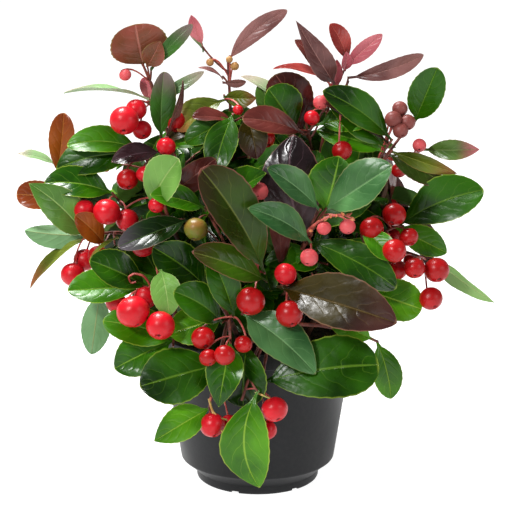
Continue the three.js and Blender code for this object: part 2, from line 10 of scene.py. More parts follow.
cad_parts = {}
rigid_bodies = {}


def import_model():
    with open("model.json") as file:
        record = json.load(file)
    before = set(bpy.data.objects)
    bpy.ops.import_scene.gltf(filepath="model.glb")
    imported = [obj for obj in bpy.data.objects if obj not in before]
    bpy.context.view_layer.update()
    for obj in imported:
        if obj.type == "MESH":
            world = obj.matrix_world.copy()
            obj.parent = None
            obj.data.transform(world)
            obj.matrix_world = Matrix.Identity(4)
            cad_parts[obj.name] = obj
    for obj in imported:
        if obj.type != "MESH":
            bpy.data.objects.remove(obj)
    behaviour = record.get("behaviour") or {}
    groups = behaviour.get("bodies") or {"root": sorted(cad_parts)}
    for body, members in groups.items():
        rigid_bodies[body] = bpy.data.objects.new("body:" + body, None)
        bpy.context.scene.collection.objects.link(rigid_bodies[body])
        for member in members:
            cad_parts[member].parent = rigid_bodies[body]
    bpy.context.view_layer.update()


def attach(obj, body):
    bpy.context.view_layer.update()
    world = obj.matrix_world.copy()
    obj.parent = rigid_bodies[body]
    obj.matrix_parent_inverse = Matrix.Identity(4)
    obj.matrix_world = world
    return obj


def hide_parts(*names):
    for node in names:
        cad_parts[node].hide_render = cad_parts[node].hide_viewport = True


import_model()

# Driving sizes of the pot, in metres.
POT_RIM_RADIUS = 0.060
POT_HEIGHT = 0.092
POT_RIM_DEPTH = 0.009
POT_RIM_ROUND = 0.0008
POT_LIP = 0.0032
POT_WALL = 0.0015
POT_TAPER = 0.156
SHOULDER_HEIGHT = 0.014
SHOULDER_RADIUS = 0.0453
SHOULDER_ROUND = 0.0018
WALL_START = 0.02
FOOT_RADIUS = 0.036
FOOT_HEIGHT = 0.005
FOOT_ROUND = 0.0016
FLOOR_THICKNESS = 0.0025
POT_SIDES = 128
DRAIN_COUNT = 4
DRAIN_RADIUS = 0.004
DRAIN_RING = 0.024
NOTCH_COUNT = 6
NOTCH_WIDTH = 0.005
NOTCH_DEPTH = 0.006
NOTCH_HEIGHT = 0.0015
NOTCH_TURN = -112
SOIL_TOP = 0.082
SOIL_GAP = 0.0007
SOIL_EDGE = 0.002
SOIL_SHOULDER = 0.004
SOIL_RINGS = 24
SOIL_SHIFT = 0.0007
SOIL_BUMPS = 0.0022

# Driving sizes of the plant. All growth is worked out in millimetres and scaled once, when a piece
# is made.
MM = 0.001
STEM_FOOT_RADIUS = 1.9
STEM_TIP_RADIUS = 1.3
STEM_SINK = 1.5
STEM_LEAN = 0.4
STEM_RISE = 0.55
TWIG_ROOT_RADIUS = 1.2
TWIG_TIP_RADIUS = 0.75
LEAF_TWIG_RADIUS = 0.7
TWIG_ARCH = 0.14
SIDE_TWIG_RUN = 7
STEM_BARE = 0.4
TWIG_BARE = 0.15
LEAST_SHARE = 0.05
STALK_RADIUS = 0.5
STALK_START = 0.86
STALK_STEP = 0.09
STALK_ARCH = 2
BERRY_HANG = [5, 9]
HANG_OUT = 0.75
HANG_DOWN = 0.8
HANG_SWAY = 0.9
BERRY_SIZES = [11, 14]
EXTRA_BERRY_SIZES = [9, 13]
EXTRA_BERRY_REACH = 24
BERRY_FLATNESS = [0.93, 1.02]
BERRY_HALF_HEIGHT = 0.475
BERRY_POLE = 0.47
BERRY_STALK_END = 0.45
BERRY_STAR = 0.405
DIMPLE_EDGE = 0.19
DIMPLE = [(0.13, -0.465), (0.075, -0.425)]
DIMPLE_LOBES = [0.1, 0.12]
STAR_REACH = 0.085
STAR_NOTCH = 0.42
STAR_RISE = 0.02
STAR_DEPTH = 0.05
BRACT_SIZE = [1.9, 1.5]
BRACT_LENGTHS = [1.8, 4.2]
BRACT_WIDTHS = [1.2, 2.2]
LEAF_STEP = 2.6
LEAF_ROOT_DEPTH = 0.6
LEAF_THICKNESS = 0.4
LEAF_CREASE = 34
LEAF_FORM = {"blunt": [0.55, 0.85], "base": [0.7, 0.9], "droop": [-0.02, 0.07],
             "wave": [0.015, 0.055], "phase": [0, 1], "twist": [-14, 14], "cup": [0.7, 1.2],
             "bow": [-0.04, 0.04]}
LEAF_FOLD = 0.3
LEAF_BULGE = 0.07
PETIOLE_SHARE = 0.09
PETIOLE_HALF_WIDTH = 0.8
TOOTH_DEPTH = 0.026
FREE_SHARE = 0.25
CROWN_CENTRE = Vector((3, 15, 138))
CROWN_RADII = Vector((104, 108, 88))
HUB_SHARE = 0.5
FOOT_SHARE = 0.43
WHORL_LEAVES = 5
WHORL_SPREAD = [42, 72]
WHORL_LIFT = 0.25
OWN_TINT_SHARE = 0.75
BRIGHT_HEIGHT = 195
BARE_SPRIG = Vector((14, -26, 120))
BARE_REACH = 8
SIDE_SPRIGS = 3
SIDE_END = 0.92
SIDE_REACH = [14, 34]
SIDE_LEAF = [22, 40]
SIDE_SPREAD = [38, 80]
SIDE_SLENDERNESS = 0.56
SIDE_SPARE = 1.12
SIDE_TWIG_RADII = [0.9, 0.6]
FILL_CENTRE = Vector((3, 22, 142))
FILL_RADII = Vector((88, 70, 72))
FILL_FLOOR = 104
FILL_SAG = 8
# Side sprigs nearer the front than this depth take the darkest green, as painted shade inside the
# crown.
FILL_SHADE_BEFORE = 10
INNER_FRONT = -48
FRONT = Vector((0, -1, 0))
FRONT_FACING = Vector((0, -0.8, 0.6))
LEAF_SLENDERNESS = 0.54
GOLDEN_ANGLE = 137.5
CHANCE_STEP = 48271
LEAF_TURNS = [0, 5, -5, 10, -10, 16, -16, 24]
FRONT_TURNS = [0, 4, -4, 0]
CRUMB_COUNT = 700
CRUMB_RING = 50
CRUMB_SIZES = [0.8, 2.6]
CRUMB_SQUASH = [[0.6, 1.5], [0.5, 1.0], [0.4, 0.8]]


def sprig(tip, leaves, berries=(), on=None):
    """A sprig: the tip of its twig, its leaves, its berries and the sprig whose twig it is on."""
    return Vector(tip), leaves, berries, on


# The masses of foliage in view: the foot of the stem on the soil, the hub where the twigs part,
# and the sprigs. A leaf is [clock, out, length, width, roll, tint]: its clock angle as seen from
# the front, how far it points out of that view, its sizes, its turn about its own midrib and its
# colour. Some have a form of their own as well: how blunt their tip and base are, a sideways bow,
# how far their sides cup, how far they droop and twist, or a side twig's end where they grow.
# A berry is [x, y, z, diameter, ripeness].
FRONT_MASSES = {
    "top_left": [[-16, -6], [-40, -8, 166], [
        sprig([-65, -5, 247],
            [[99, 10, 24, 33, 0, "russet", {"blunt": 0.4, "base": 0.42, "cup": 0.5, "twist": 0}],
             [62, 15, 17, 13, 20, "russet",
              {"blunt": 0.7, "base": 0.6, "twist": 0, "at": [-62, -9, 246]}]],
            [[-74, -15, 242, 7, "pink"]]),
        sprig([-60, -8, 245], [[48, 5, 35, 9, 30, "smoke"]], on=0),
        sprig([-62, -6, 228],
            [[175, 8, 48, 14, 62, "pale"], [31, 10, 36, 7, 40, "pale"],
             [98, 0, 14, 8, 0, "pink", {"at": [-62, -3, 225]}]],
            [[-74, -30, 219, 16.5, "ripe"], [-65, -16, 211, 11, "ripe"],
             [-68, -18, 223, 12, "ripe"]], on=0),
        sprig([-55, -12, 207],
            [[87, 5, 38, 16, 20, "smoke", {"blunt": 0.5}], [70, 10, 38, 7, 70, "mauve"],
             [45, -8, 30, 15, 10, "bronze"], [24, -8, 46, 17, 10, "mid"]],
            [[-51, -28, 204, 11, "ripe"], [-46, -10, 215, 13, "full"]])]],
    "top": [[-6, 2], [-14, 2, 178], [
        sprig([-32, 5, 256], [[108, 5, 19, 8, -20, "pink"], [126, 12, 12, 5, 30, "pale"]], on=1),
        sprig([-17, 0, 248],
            [[42, 5, 45, 11, 25, "mauve", {"bow": 0.07}]],
            [[-27, -2, 247, 4.5, "bud"], [-13, -3, 245, 5, "bud"], [-16, -4, 249, 4, "bud"]]),
        sprig([-20, 0, 239], [[154, 5, 15, 6, 50, "mauve"], [2, 5, 13, 5, 50, "mauve"]], on=1),
        sprig([-19, -10, 230],
            [[0, 20, 19, 11, 50, "olive"], [210, 14, 32, 18, 10, "olive"]],
            [[-11, -25, 224, 6, "ripe"]], on=1),
        sprig([-14, -20, 221],
            [[252, 30, 38, 19, 0, "deep"], [206, 8, 30, 16, 0, "deep"],
             [170, 18, 24, 12, 20, "maroon"], [330, 15, 22, 12, 20, "deep"],
             [283, 15, 25, 17, 0, "bronze", {"at": [-6, -24, 221]}]])]],
    "top_right": [[12, 3], [34, 2, 176], [
        sprig([27, -10, 214],
            [[164, 12, 36, 17, 0, "maroon", {"blunt": 0.5, "at": [25, -27, 211]}],
             [114, 6, 36, 27, 10, "maroon", {"blunt": 0.45, "base": 0.6, "at": [25, -8, 209]}],
             [139, -15, 50, 14, 30, "pale"],
             [122, 20, 31, 25, 0, "deep", {"blunt": 0.5, "at": [22, -14, 211]}],
             [115, -10, 20, 15, 0, "soft", {"at": [9, 2, 216]}],
             [10, 5, 34, 20, 0, "mid", {"at": [34, -6, 212]}]],
            [[4, -25, 208, 11.5, "full"]]),
        sprig([43, -2, 237],
            [[120, 18, 45, 15, -4, "mauve", {"base": 0.5, "blunt": 1.05, "at": [43, -7, 236]}],
             [160, 0, 35, 11, 40, "red", {"bow": -0.08}], [80, 5, 18, 7, 30, "pink"],
             [129, -12, 30, 13, 20, "maroon", {"at": [40, 3, 236]}]],
            [[35, -18, 227, 8.5, "pink"], [42, -15, 229, 7.5, "pink"], [30, -22, 219, 9, "ripe"]]),
        sprig([51, 0, 248],
            [[113, 5, 24, 13, 20, "red"], [44, 10, 28, 10, 30, "pink"],
             [85, 20, 12, 7, 30, "pink"]], on=0),
        sprig([51, -5, 237],
            [[17, 5, 44, 11, 44, "mauve", {"bow": -0.03, "at": [51, -5, 239]}]],
            [[47, -25, 201, 11.5, "full"]])]],
    "right_upper": [[20, -2], [58, -8, 168], [
        sprig([90, -5, 215], [[72, 22, 37, 20, 0, "deep", {"blunt": 0.45, "base": 0.6}]]),
        sprig([76, -12, 205],
            [[143, 12, 51, 20, -4, "deep", {"blunt": 0.6}], [147, 6, 50, 15, 20, "bronze"],
             [138, -4, 46, 20, 0, "deep"], [160, -2, 40, 18, 0, "mid"]],
            [[80, -10, 222, 9, "husk"], [76, -16, 217, 10, "husk"], [84, -14, 215, 9.5, "husk"],
             [80, -18, 211, 9, "husk"]]),
        sprig([76, -14, 199],
            [[-17, 15, 39, 10, 50, "olive"], [-26, 14, 34, 16, 10, "dusk"],
             [0, 10, 12, 5, 0, "red"]],
            [[80, -12, 187, 9, "full"]]),
        sprig([95, -5, 198],
            [[2, 10, 32, 12, 20, "blush", {"blunt": 0.95}]],
            [[91, -15, 202, 8, "pink"]])]],
    "right": [[24, -14], [60, -26, 146], [
        sprig([81, -20, 157],
            [[27, 10, 52, 27, 4, "deep"], [-26, 5, 33, 17, 10, "light"],
             [-40, 30, 26, 14, 0, "mid", {"at": [57, -44, 161]}]],
            [[76, -36, 167, 13.5, "full"], [63, -45, 161, 13.5, "full"], [84, -40, 155, 11, "full"],
             [75, -55, 151, 13.5, "full"]]),
        sprig([105, -24, 133],
            [[-36, 5, 41, 13, 160, "soft", {"blunt": 0.95, "base": 0.55, "at": [101, -24, 137]}]],
            [[100, -40, 136, 14.5, "full"], [87, -47, 139, 12, "full"],
             [97, -42, 120, 13.5, "full"], [78, -36, 135, 12, "full"]]),
        sprig([58, -38, 124], [[-17, 8, 36, 25, 0, "light"]])]],
    "centre": [[4, -16], [22, -34, 138], [
        sprig([30, -45, 158],
            [[99, -2, 59, 35, -14, "plum",
              {"bow": 0.09, "droop": 0.08, "twist": 0, "cup": -0.7, "at": [28, -47, 155]}],
             [143, 26, 46, 18, 0, "sea", {"at": [29, -54, 155], "twist": 0}],
             [-24, 15, 56, 22, 0, "deep"], [97, -8, 46, 13, 20, "maroon", {"at": [12, -44, 136]}]],
            [[28, -62, 149, 10, "pink"], [36, -60, 165, 8, "pink"]]),
        sprig([38, -50, 174],
            [[39, 20, 47, 26, 0, "sea"], [76, 4, 33, 28, 0, "mid"]],
            [[49, -56, 165, 9, "pink"]]),
        sprig([34, -58, 175], [[137, 18, 41, 18, 10, "sea"]]),
        sprig([15, -60, 129],
            [[-11, 24, 71, 31, 6, "bronze", {"at": [11, -61, 132], "cup": 1.4, "twist": 0}]],
            [[15, -67, 141, 12.5, "ripe"], [17, -76, 121, 15, "full"]])]],
    "centre_left": [[-5, -18], [-12, -38, 134], [
        sprig([4, -54, 138],
            [[117, 17, 74, 31, 12, "dusk", {"blunt": 0.5, "base": 0.85, "bow": 0, "twist": 0}],
             [151, 24, 50, 22, 12, "dusk", {"at": [5, -60, 135], "twist": 0}],
             [95, 10, 26, 6, 0, "red"]],
            [[-4, -72, 127, 16, "full"]]),
        sprig([-30, -40, 172],
            [[160, 22, 34, 17, 10, "mid"]],
            [[-34, -54, 163, 13.5, "green"], [1, -42, 182, 11, "pink"]])]],
    "left_upper": [[-22, -8], [-50, -18, 158], [
        sprig([-60, -38, 172],
            [[62, 28, 40, 24, 0, "soft", {"blunt": 0.55}],
             [196, 24, 43, 17, 0, "slate", {"at": [-39, -40, 165]}],
             [44, 10, 42, 15, 20, "maroon", {"at": [-55, -33, 171]}]]),
        sprig([-66, -14, 200],
            [[172, 10, 42, 18, 10, "mid"], [187, 6, 50, 24, -4, "deep"],
             [184, 25, 30, 15, 20, "plum", {"at": [-54, -20, 199]}]],
            [[-73, -27, 185, 12.5, "full"], [-63, -31, 189, 10, "ripe"],
             [-86, -15, 189, 5, "ripe"]])]],
    "left": [[-26, -4], [-68, -16, 150], [
        sprig([-82, -25, 177],
            [[167, 10, 39, 21, 10, "mid"], [162, 4, 32, 17, 0, "sea", {"at": [-76, -24, 168]}]],
            [[-84, -38, 169, 15.5, "ripe"], [-73, -33, 163, 13, "ripe"],
             [-97, -33, 169, 12, "ripe"], [-56, -48, 175, 9, "ripe"]]),
        sprig([-106, -12, 172],
            [[176, 5, 32, 17, -14, "orange", {"blunt": 0.45}], [176, -15, 34, 8, 40, "pale"]]),
        sprig([-116, 0, 182],
            [[82, 5, 37, 15, 10, "orange", {"blunt": 0.5}],
             [162, 5, 22, 9, 30, "pale", {"at": [-116, 0, 188]}]]),
        sprig([-98, -30, 152],
            [[130, 16, 46, 22, 0, "soft", {"blunt": 0.95}], [221, 5, 45, 13, 40, "olive"],
             [176, 0, 39, 16, 180, "sea"], [128, 24, 27, 15, 0, "orange", {"at": [-86, -33, 149]}],
             [217, 10, 20, 6, 40, "olive", {"at": [-78, -45, 156]}],
             [228, 10, 19, 9, 20, "mid", {"at": [-79, -42, 150]}],
             [235, -10, 34, 20, 0, "deep", {"at": [-66, -12, 160]}]],
            [[-104, -35, 132, 14, "ripe"], [-90, -32, 142, 12, "full"], [-98, -25, 138, 13, "ripe"],
             [-112, -18, 149, 9, "ripe"]])]],
    "left_low": [[-18, -20], [-46, -42, 118], [
        sprig([-64, -56, 131],
            [[182, 10, 42, 21, 4, "mid", {"droop": -0.06, "twist": 0}],
             [150, 15, 37, 22, 0, "deep"], [120, -10, 34, 22, 0, "deep", {"at": [-54, -38, 130]}],
             [200, -10, 26, 20, 0, "deep", {"at": [-48, -44, 120]}],
             [281, 20, 25, 17, 0, "soft",
              {"at": [-53, -67, 143], "blunt": 0.6, "base": 0.45, "cup": 0.3}]],
            [[-68, -75, 122, 18.5, "ripe"], [-53, -78, 115, 16, "ripe"],
             [-78, -61, 123, 12, "ripe"], [-62, -62, 126, 13, "ripe"],
             [-64, -42, 151, 14, "ripe"]]),
        sprig([-89, -48, 125], [[262, 5, 35, 17, 180, "sea"]]),
        sprig([-47, -62, 98],
            [[160, 15, 42, 23, 0, "mid", {"at": [-46, -59, 102]}], [202, 15, 36, 24, 0, "mid"]])]],
    "front_left": [[-8, -26], [-16, -54, 112], [
        sprig([-13, -66, 116],
            [[108, 12, 39, 18, 0, "deep"], [138, 25, 37, 22, 0, "deep", {"at": [-20, -63, 112]}],
             [192, 20, 32, 22, 0, "light", {"at": [-19, -60, 115], "cup": 0.3, "twist": 0}]],
            [[-30, -78, 108, 13, "full"], [-8, -80, 105, 10, "full"]]),
        sprig([-30, -50, 130], [[140, 10, 38, 24, 0, "deep"]]),
        sprig([-15, -76, 104],
            [[259, 18, 36, 21, 0, "mid", {"blunt": 1.0, "base": 0.6}]],
            [[-18, -90, 102, 11.5, "full"], [-27, -85, 99, 10, "full"]]),
        sprig([-22, -70, 89],
            [[194, 12, 45, 34, 2, "deep", {"cup": 0.2, "twist": 0, "droop": -0.07}]]),
        sprig([-27, -80, 67],
            [[209, 10, 35, 20, 0, "light", {"blunt": 0.95, "base": 0.7}]],
            [[-25, -84, 60, 14, "ripe"], [-16, -74, 57, 11, "ripe"]])]],
    "front": [[10, -26], [8, -56, 108], [
        sprig([-9, -66, 118], [[-36, 20, 52, 26, 0, "sea", {"blunt": 0.8, "base": 0.6}]]),
        sprig([-2, -72, 96], [[266, 14, 36, 28, 10, "deep", {"at": [-6, -70, 103], "twist": 0}]]),
        sprig([2, -74, 80], [[14, 8, 65, 38, -2, "deep", {"blunt": 0.5, "twist": 0, "cup": 0.3}]]),
        sprig([-9, -84, 74],
            [[271, 5, 55, 28, 0, "light", {"at": [0, -84, 79], "bow": -0.15, "blunt": 0.9}]],
            [[9, -84, 69, 15, "ripe"], [5, -78, 55, 11, "ripe"]]),
        sprig([68, -40, 94], [[285, 5, 35, 17, 0, "light"], [150, 10, 30, 16, 0, "light"]])]],
}

# Bare stalks in view, as the places they run through: a red curl, the pale stalks of low berries,
# and the stalk with orange bracts under the leaves of the centre.
RED_CURL = ["left_low", [[-58, -58, 128], [-60, -61, 135], [-63, -62, 139], [-68, -62, 140],
                         [-71, -62, 138], [-70, -61, 134], [-67, -61, 135]]]
PALE_STALKS = [
    ["front_left", [[-27, -78, 73], [-25, -83, 68], [-22, -86, 65], [-17, -84, 63]]],
    ["front_left", [[-25, -83, 68], [-23, -88, 62], [-19, -88, 57]]],
    ["front", [[-3, -79, 78], [2, -83, 77], [7, -84, 75]]],
]
BRACT_STALK = ["centre", [[26, -52, 160], [31, -59, 167], [38, -62, 172], [46, -61, 173],
                          [52, -59, 170]]]

# The masses that the front hides: the part of the crown that each fills, as degrees round from
# +X towards the back and degrees of rise, its share of the crown's radii, the lengths of its
# leaves, its sprigs and how many of them carry berries.
HIDDEN_MASSES = {
    "side_right": [[-12, 38], [0, 34], 0.74, [38, 48], 4, 3],
    "back_right": [[44, 88], [-4, 36], 0.74, [38, 48], 5, 4],
    "back_left": [[94, 136], [-4, 36], 0.74, [38, 48], 5, 4],
    "side_left": [[146, 192], [0, 34], 0.74, [38, 48], 4, 3],
    "back_low": [[52, 128], [-36, -16], 0.74, [38, 48], 5, 3],
    "back_top": [[20, 160], [40, 74], 0.78, [38, 48], 7, 1],
    "inner_right": [[-84, -20], [8, 62], 0.52, [44, 54], 4, 0],
    "inner_left": [[-160, -96], [8, 62], 0.52, [44, 54], 4, 0],
    "inner_low": [[-150, -40], [-34, -10], 0.46, [40, 50], 4, 0],
}

# The tints of the leaves: the colour in the shade of a fold, the colour in full, the thin margin,
# the midrib and the underside.
LEAF_TINTS = {
    "deep": ["#0c2800", "#265600", "#8ca034", "#5a7e20", "#557f3c"],
    "mid": ["#174000", "#3f7c04", "#a2b43e", "#789e30", "#6c9648"],
    "light": ["#2c5c06", "#508c08", "#b4bc4a", "#8cae36", "#86aa5a"],
    "soft": ["#446c26", "#6a9642", "#b4b878", "#98b468", "#7a9a5c"],
    "pale": ["#4c7044", "#80a06c", "#b9ad94", "#a7bd8a", "#9db890"],
    "sea": ["#204420", "#4a7442", "#8c8a58", "#6e9460", "#6a8f62"],
    "smoke": ["#1c3a10", "#36661c", "#8c8a58", "#628048", "#6a8f62"],
    "slate": ["#0e2208", "#22420e", "#84705c", "#506a38", "#57454d"],
    "olive": ["#33400a", "#62701c", "#9a6f40", "#8e9238", "#808b48"],
    "bronze": ["#151003", "#342c08", "#8a6048", "#5c4a24", "#5f463c"],
    "dusk": ["#202404", "#2c4a03", "#9a5650", "#626a26", "#5f463c"],
    "maroon": ["#2e0f0c", "#602822", "#7c6436", "#80463a", "#7d483e"],
    "plum": ["#120a0c", "#2e1c20", "#93605a", "#5a424a", "#57454a"],
    "mauve": ["#4e2c2a", "#8c5e5a", "#a0786c", "#a0746c", "#946c64"],
    "russet": ["#4c3412", "#8a443a", "#8c8244", "#a46658", "#946c64"],
    "red": ["#721f1b", "#ae4c46", "#b86450", "#b45848", "#a85244"],
    "pink": ["#a04a54", "#ca747a", "#cf9488", "#d08884", "#be7a78"],
    "orange": ["#662a06", "#974c10", "#b87a3c", "#b07034", "#a86c3c"],
    "blush": ["#304c1c", "#628038", "#b58470", "#93a468", "#8a9f6c"],
}

# The colour of a leaf's tip where it differs from the rest. The slate leaf's grey tip is a painted
# sheen.
TIP_TINTS = {"blush": "#b8606c", "olive": "#8a4a32", "dusk": "#2a1a0c", "pale": "#a58f86",
             "smoke": "#7c6466", "slate": "#504850", "orange": "#74300e", "bronze": "#3e1c20"}

# How often the rule deals each tint to a sprig out of view, and how much more often high up.
TINT_SHARES = {"deep": 30, "mid": 34, "light": 14, "sea": 6, "bronze": 5, "olive": 4, "mauve": 3,
               "maroon": 2, "orange": 1, "pink": 1}
HIGH_SHARES = {"bronze": 8, "mauve": 8, "maroon": 6, "pink": 4}

# How sharp the gloss is, and how strong: bronze and purple leaves shine the most.
LEAF_GLOSS = 0.23
DARK_GLOSS = 0.19
LEAF_SHINE = 0.25
DARK_SHINE = 0.3
DARK_TINTS = ("bronze", "plum")
BERRY_SHINE = 0.3

# The ripeness of the berries: body colour, the colour of their patches and roughness.
BERRY_COLOURS = {
    "ripe": ["#c61020", "#9a060c", 0.3],
    "full": ["#a80c10", "#820507", 0.28],
    "pink": ["#cc5458", "#c03c40", 0.4],
    "green": ["#587018", "#a04034", 0.32],
    "bud": ["#a87c48", "#8c4c30", 0.45],
    "husk": ["#84443e", "#5c2624", 0.4],
}


def linear(colour):
    """A colour written as #rrggbb, in Blender's linear values."""
    shares = [int(colour[i:i + 2], 16) / 255 for i in (1, 3, 5)]
    return tuple(c / 12.92 if c <= 0.04045 else ((c + 0.055) / 1.055) ** 2.4 for c in shares) + (1,)


def lerp(low, high, share):
    return low + (high - low) * share


def chance(seed):
    """A small repeatable source of chance, from 0 to 1."""
    state = seed
    while True:
        state = (state * 16807) % 2147483647
        yield state / 2147483647


# Materials

class Value:
    """What a node puts out. Sums written with it become Math nodes."""

    def __init__(self, wiring, socket):
        self.wiring, self.socket = wiring, socket

    def __add__(self, other):
        return self.wiring.maths("ADD", self, other)

    def __sub__(self, other):
        return self.wiring.maths("SUBTRACT", self, other)

    def __rsub__(self, other):
        return self.wiring.maths("SUBTRACT", other, self)

    def __mul__(self, other):
        return self.wiring.maths("MULTIPLY", self, other)

    def __pow__(self, other):
        return self.wiring.maths("POWER", self, other)

    def __abs__(self):
        return self.wiring.maths("ABSOLUTE", self)

    def span(self, low, high):
        """0 below low, 1 above high, and smooth between."""
        return self.wiring.out("ShaderNodeMapRange", "Result", interpolation_type="SMOOTHSTEP",
                               From_Min=low, From_Max=high, Value=self)


class Wiring:
    """A node tree with short ways to add to it. An underscore stands for a space in an input's
    name."""

    def __init__(self, tree):
        self.tree = tree

    def feed(self, socket, value):
        """Gives an input a number, a written colour or what another node puts out."""
        if isinstance(value, Value):
            self.tree.links.new(value.socket, socket)
        else:
            socket.default_value = linear(value) if isinstance(value, str) else value

    def node(self, kind, **values):
        """A node with its settings, and its inputs where a value's name is an input's."""
        made = self.tree.nodes.new(kind)
        for key, value in values.items():
            if hasattr(made, key):
                setattr(made, key, value)
            else:
                self.feed(made.inputs[key.replace("_", " ")], value)
        return made

    def out(self, kind, output, **values):
        return Value(self, self.node(kind, **values).outputs[output])

    def maths(self, operation, *values):
        made = self.node("ShaderNodeMath", operation=operation)
        for socket, value in zip(made.inputs, values):
            self.feed(socket, value)
        return Value(self, made.outputs[0])

    def noise(self, scale, detail):
        place = self.out("ShaderNodeTexCoord", "Object")
        return self.out("ShaderNodeTexNoise", "Fac", Vector=place, Scale=scale, Detail=detail)

    def mix(self, share, first, second):
        """Two colours mixed by a share."""
        made = self.node("ShaderNodeMix", data_type="RGBA", Factor=share)
        for key, value in (("A", first), ("B", second)):
            self.feed(next(s for s in made.inputs if s.name == key and s.type == "RGBA"), value)
        return Value(self, next(s for s in made.outputs if s.type == "RGBA"))

    def marked(self, colour, marks, *layers):
        """A colour with a leaf's marks over it: each mark, its strength and its colour."""
        for mark, strength, mark_colour in layers:
            colour = self.mix(marks[mark] * strength, colour, mark_colour)
        return colour

    def relief(self, height, distance, strength):
        return self.out("ShaderNodeBump", "Normal", Height=height, Distance=distance,
                        Strength=strength)

    def grouped(self, group, **values):
        """A placed node group's outputs, by their names."""
        made = self.node("ShaderNodeGroup", node_tree=group, **values)
        return {output.name: Value(self, output) for output in made.outputs}

    def mottle(self, scale, fine_share):
        return self.grouped(MOTTLE, Scale=scale, Fine_Share=fine_share)["Patches"]


class Finish(Wiring):
    """A material, and the wiring of its shader."""

    def __init__(self, name):
        self.material = bpy.data.materials.new(name)
        self.material.use_nodes = True
        super().__init__(self.material.node_tree)

    def done(self, **values):
        """The material, once its shader's inputs are set."""
        for key, value in values.items():
            self.feed(self.tree.nodes["Principled BSDF"].inputs[key.replace("_", " ")], value)
        return self.material


def new_group(name, inputs, outputs):
    """A new node group's wiring, and its inputs by their names."""
    group = bpy.data.node_groups.new(name, "ShaderNodeTree")
    for key, value in inputs.items():
        socket = group.interface.new_socket(key, in_out="INPUT", socket_type="NodeSocketFloat")
        socket.default_value = value
    for key in outputs:
        group.interface.new_socket(key, in_out="OUTPUT", socket_type="NodeSocketFloat")
    wiring = Wiring(group)
    entry = wiring.node("NodeGroupInput")
    return wiring, [Value(wiring, entry.outputs[key]) for key in inputs]


def mottle_group():
    """Soft patches of two sizes over a surface."""
    wiring, (scale, fine_share) = new_group("mottle", {"Scale": 60.0, "Fine Share": 0.3},
                                            ["Patches"])
    broad, fine = wiring.noise(scale, 2.0), wiring.noise(scale * 9.0, 3.0)
    wiring.node("NodeGroupOutput", Patches=broad.span(0.32, 0.68) + (fine - 0.5) * fine_share)
    return wiring.tree


def leaf_marks_group():
    """The midrib, side veins and margin of a leaf, from its own map: along it, and across it."""
    wiring, (vein_count, slant) = new_group("leaf_marks", {"Veins": 6.0, "Slant": 0.34},
                                            ["Margin", "Midrib", "Veins", "Relief", "Along"])
    leaf_map = wiring.out("ShaderNodeUVMap", "UV", uv_map="leaf")
    parts = wiring.node("ShaderNodeSeparateXYZ", Vector=leaf_map)
    grain = wiring.noise(700.0, 2.0)
    pucker = wiring.noise(320.0, 1.0)
    drift = wiring.noise(130.0, 1.0)
    along = Value(wiring, parts.outputs["X"])
    across = abs(Value(wiring, parts.outputs["Y"]) - 0.5) * 2.0
    margin = wiring.maths("MAXIMUM", across.span(0.93, 0.99), along.span(0.975, 0.995))
    midrib = 1.0 - across.span(0.012, 0.06)
    row = along - across ** 1.4 * slant + (drift - 0.5) * 0.12
    from_vein = abs(wiring.maths("FRACT", row * vein_count) - 0.5)
    fade = 1.0 - across.span(0.5, 0.9)
    puff = (1.0 - (from_vein * 2.0) ** 3.0) * fade
    leather = pucker * 0.5 + (grain * 0.12 + drift * 2.2)
    wiring.node("NodeGroupOutput", Margin=margin, Midrib=midrib, Along=along,
                Veins=from_vein.span(0.46, 0.5) * fade, Relief=puff * 0.45 - midrib + leather)
    return wiring.tree


MOTTLE = mottle_group()
LEAF_MARKS = leaf_marks_group()


def leaf_skin(tint, colours):
    """The glossy upper side of a leaf, with its veins and pale margin."""
    shade, full, margin, rib, _ = colours
    skin = Finish(f"leaf_{tint}")
    marks, patches = skin.grouped(LEAF_MARKS), skin.mottle(30.0, fine_share=0.3)
    colour = skin.mix(patches, shade, full)
    if tint in TIP_TINTS:
        colour = skin.mix(marks["Along"].span(0.55, 1.0) * 0.8, colour, TIP_TINTS[tint])
    colour = skin.marked(colour, marks, ("Veins", 0.3, rib), ("Midrib", 0.65, rib),
                         ("Margin", 0.5, margin))
    gloss, shine = (DARK_GLOSS, DARK_SHINE) if tint in DARK_TINTS else (LEAF_GLOSS, LEAF_SHINE)
    return skin.done(Base_Color=colour, Roughness=patches * 0.12 + gloss, Specular_IOR_Level=shine,
                     Normal=skin.relief(marks["Relief"], distance=0.00045, strength=0.5))


def leaf_back(tint, colours):
    """The paler, duller underside of a leaf."""
    _, full, margin, _, under = colours
    skin = Finish(f"leaf_under_{tint}")
    marks, patches = skin.grouped(LEAF_MARKS), skin.mottle(50.0, fine_share=0.5)
    colour = skin.marked(skin.mix(patches * 0.35, under, full), marks,
                         ("Midrib", 0.6, margin), ("Veins", 0.2, margin))
    return skin.done(Base_Color=colour, Roughness=0.5, Specular_IOR_Level=LEAF_SHINE,
                     Normal=skin.relief(marks["Relief"] * -1.0, distance=0.0004, strength=0.5))


def berry_skin(ripeness, colour, ripening, roughness):
    """The waxy skin of a berry, with patches that ripen more than the rest, and faint dents."""
    skin = Finish(f"berry_{ripeness}")
    patches, dents = skin.mottle(90.0, fine_share=0.25), skin.mottle(150.0, fine_share=0.35)
    return skin.done(Base_Color=skin.mix(patches * 0.5, colour, ripening),
                     Roughness=patches * 0.08 + roughness, Specular_IOR_Level=BERRY_SHINE,
                     Normal=skin.relief(dents, distance=0.0005, strength=0.3))


def rough_skin(name, dark, light, roughness, grain=(260.0, 0.6), depth=(0.0003, 0.5)):
    """Bark, a stalk or soil: two colours and a relief in grains of one size."""
    skin = Finish(name)
    patches = skin.mottle(*grain)
    return skin.done(Base_Color=skin.mix(patches, dark, light), Roughness=roughness,
                     Normal=skin.relief(patches, *depth))


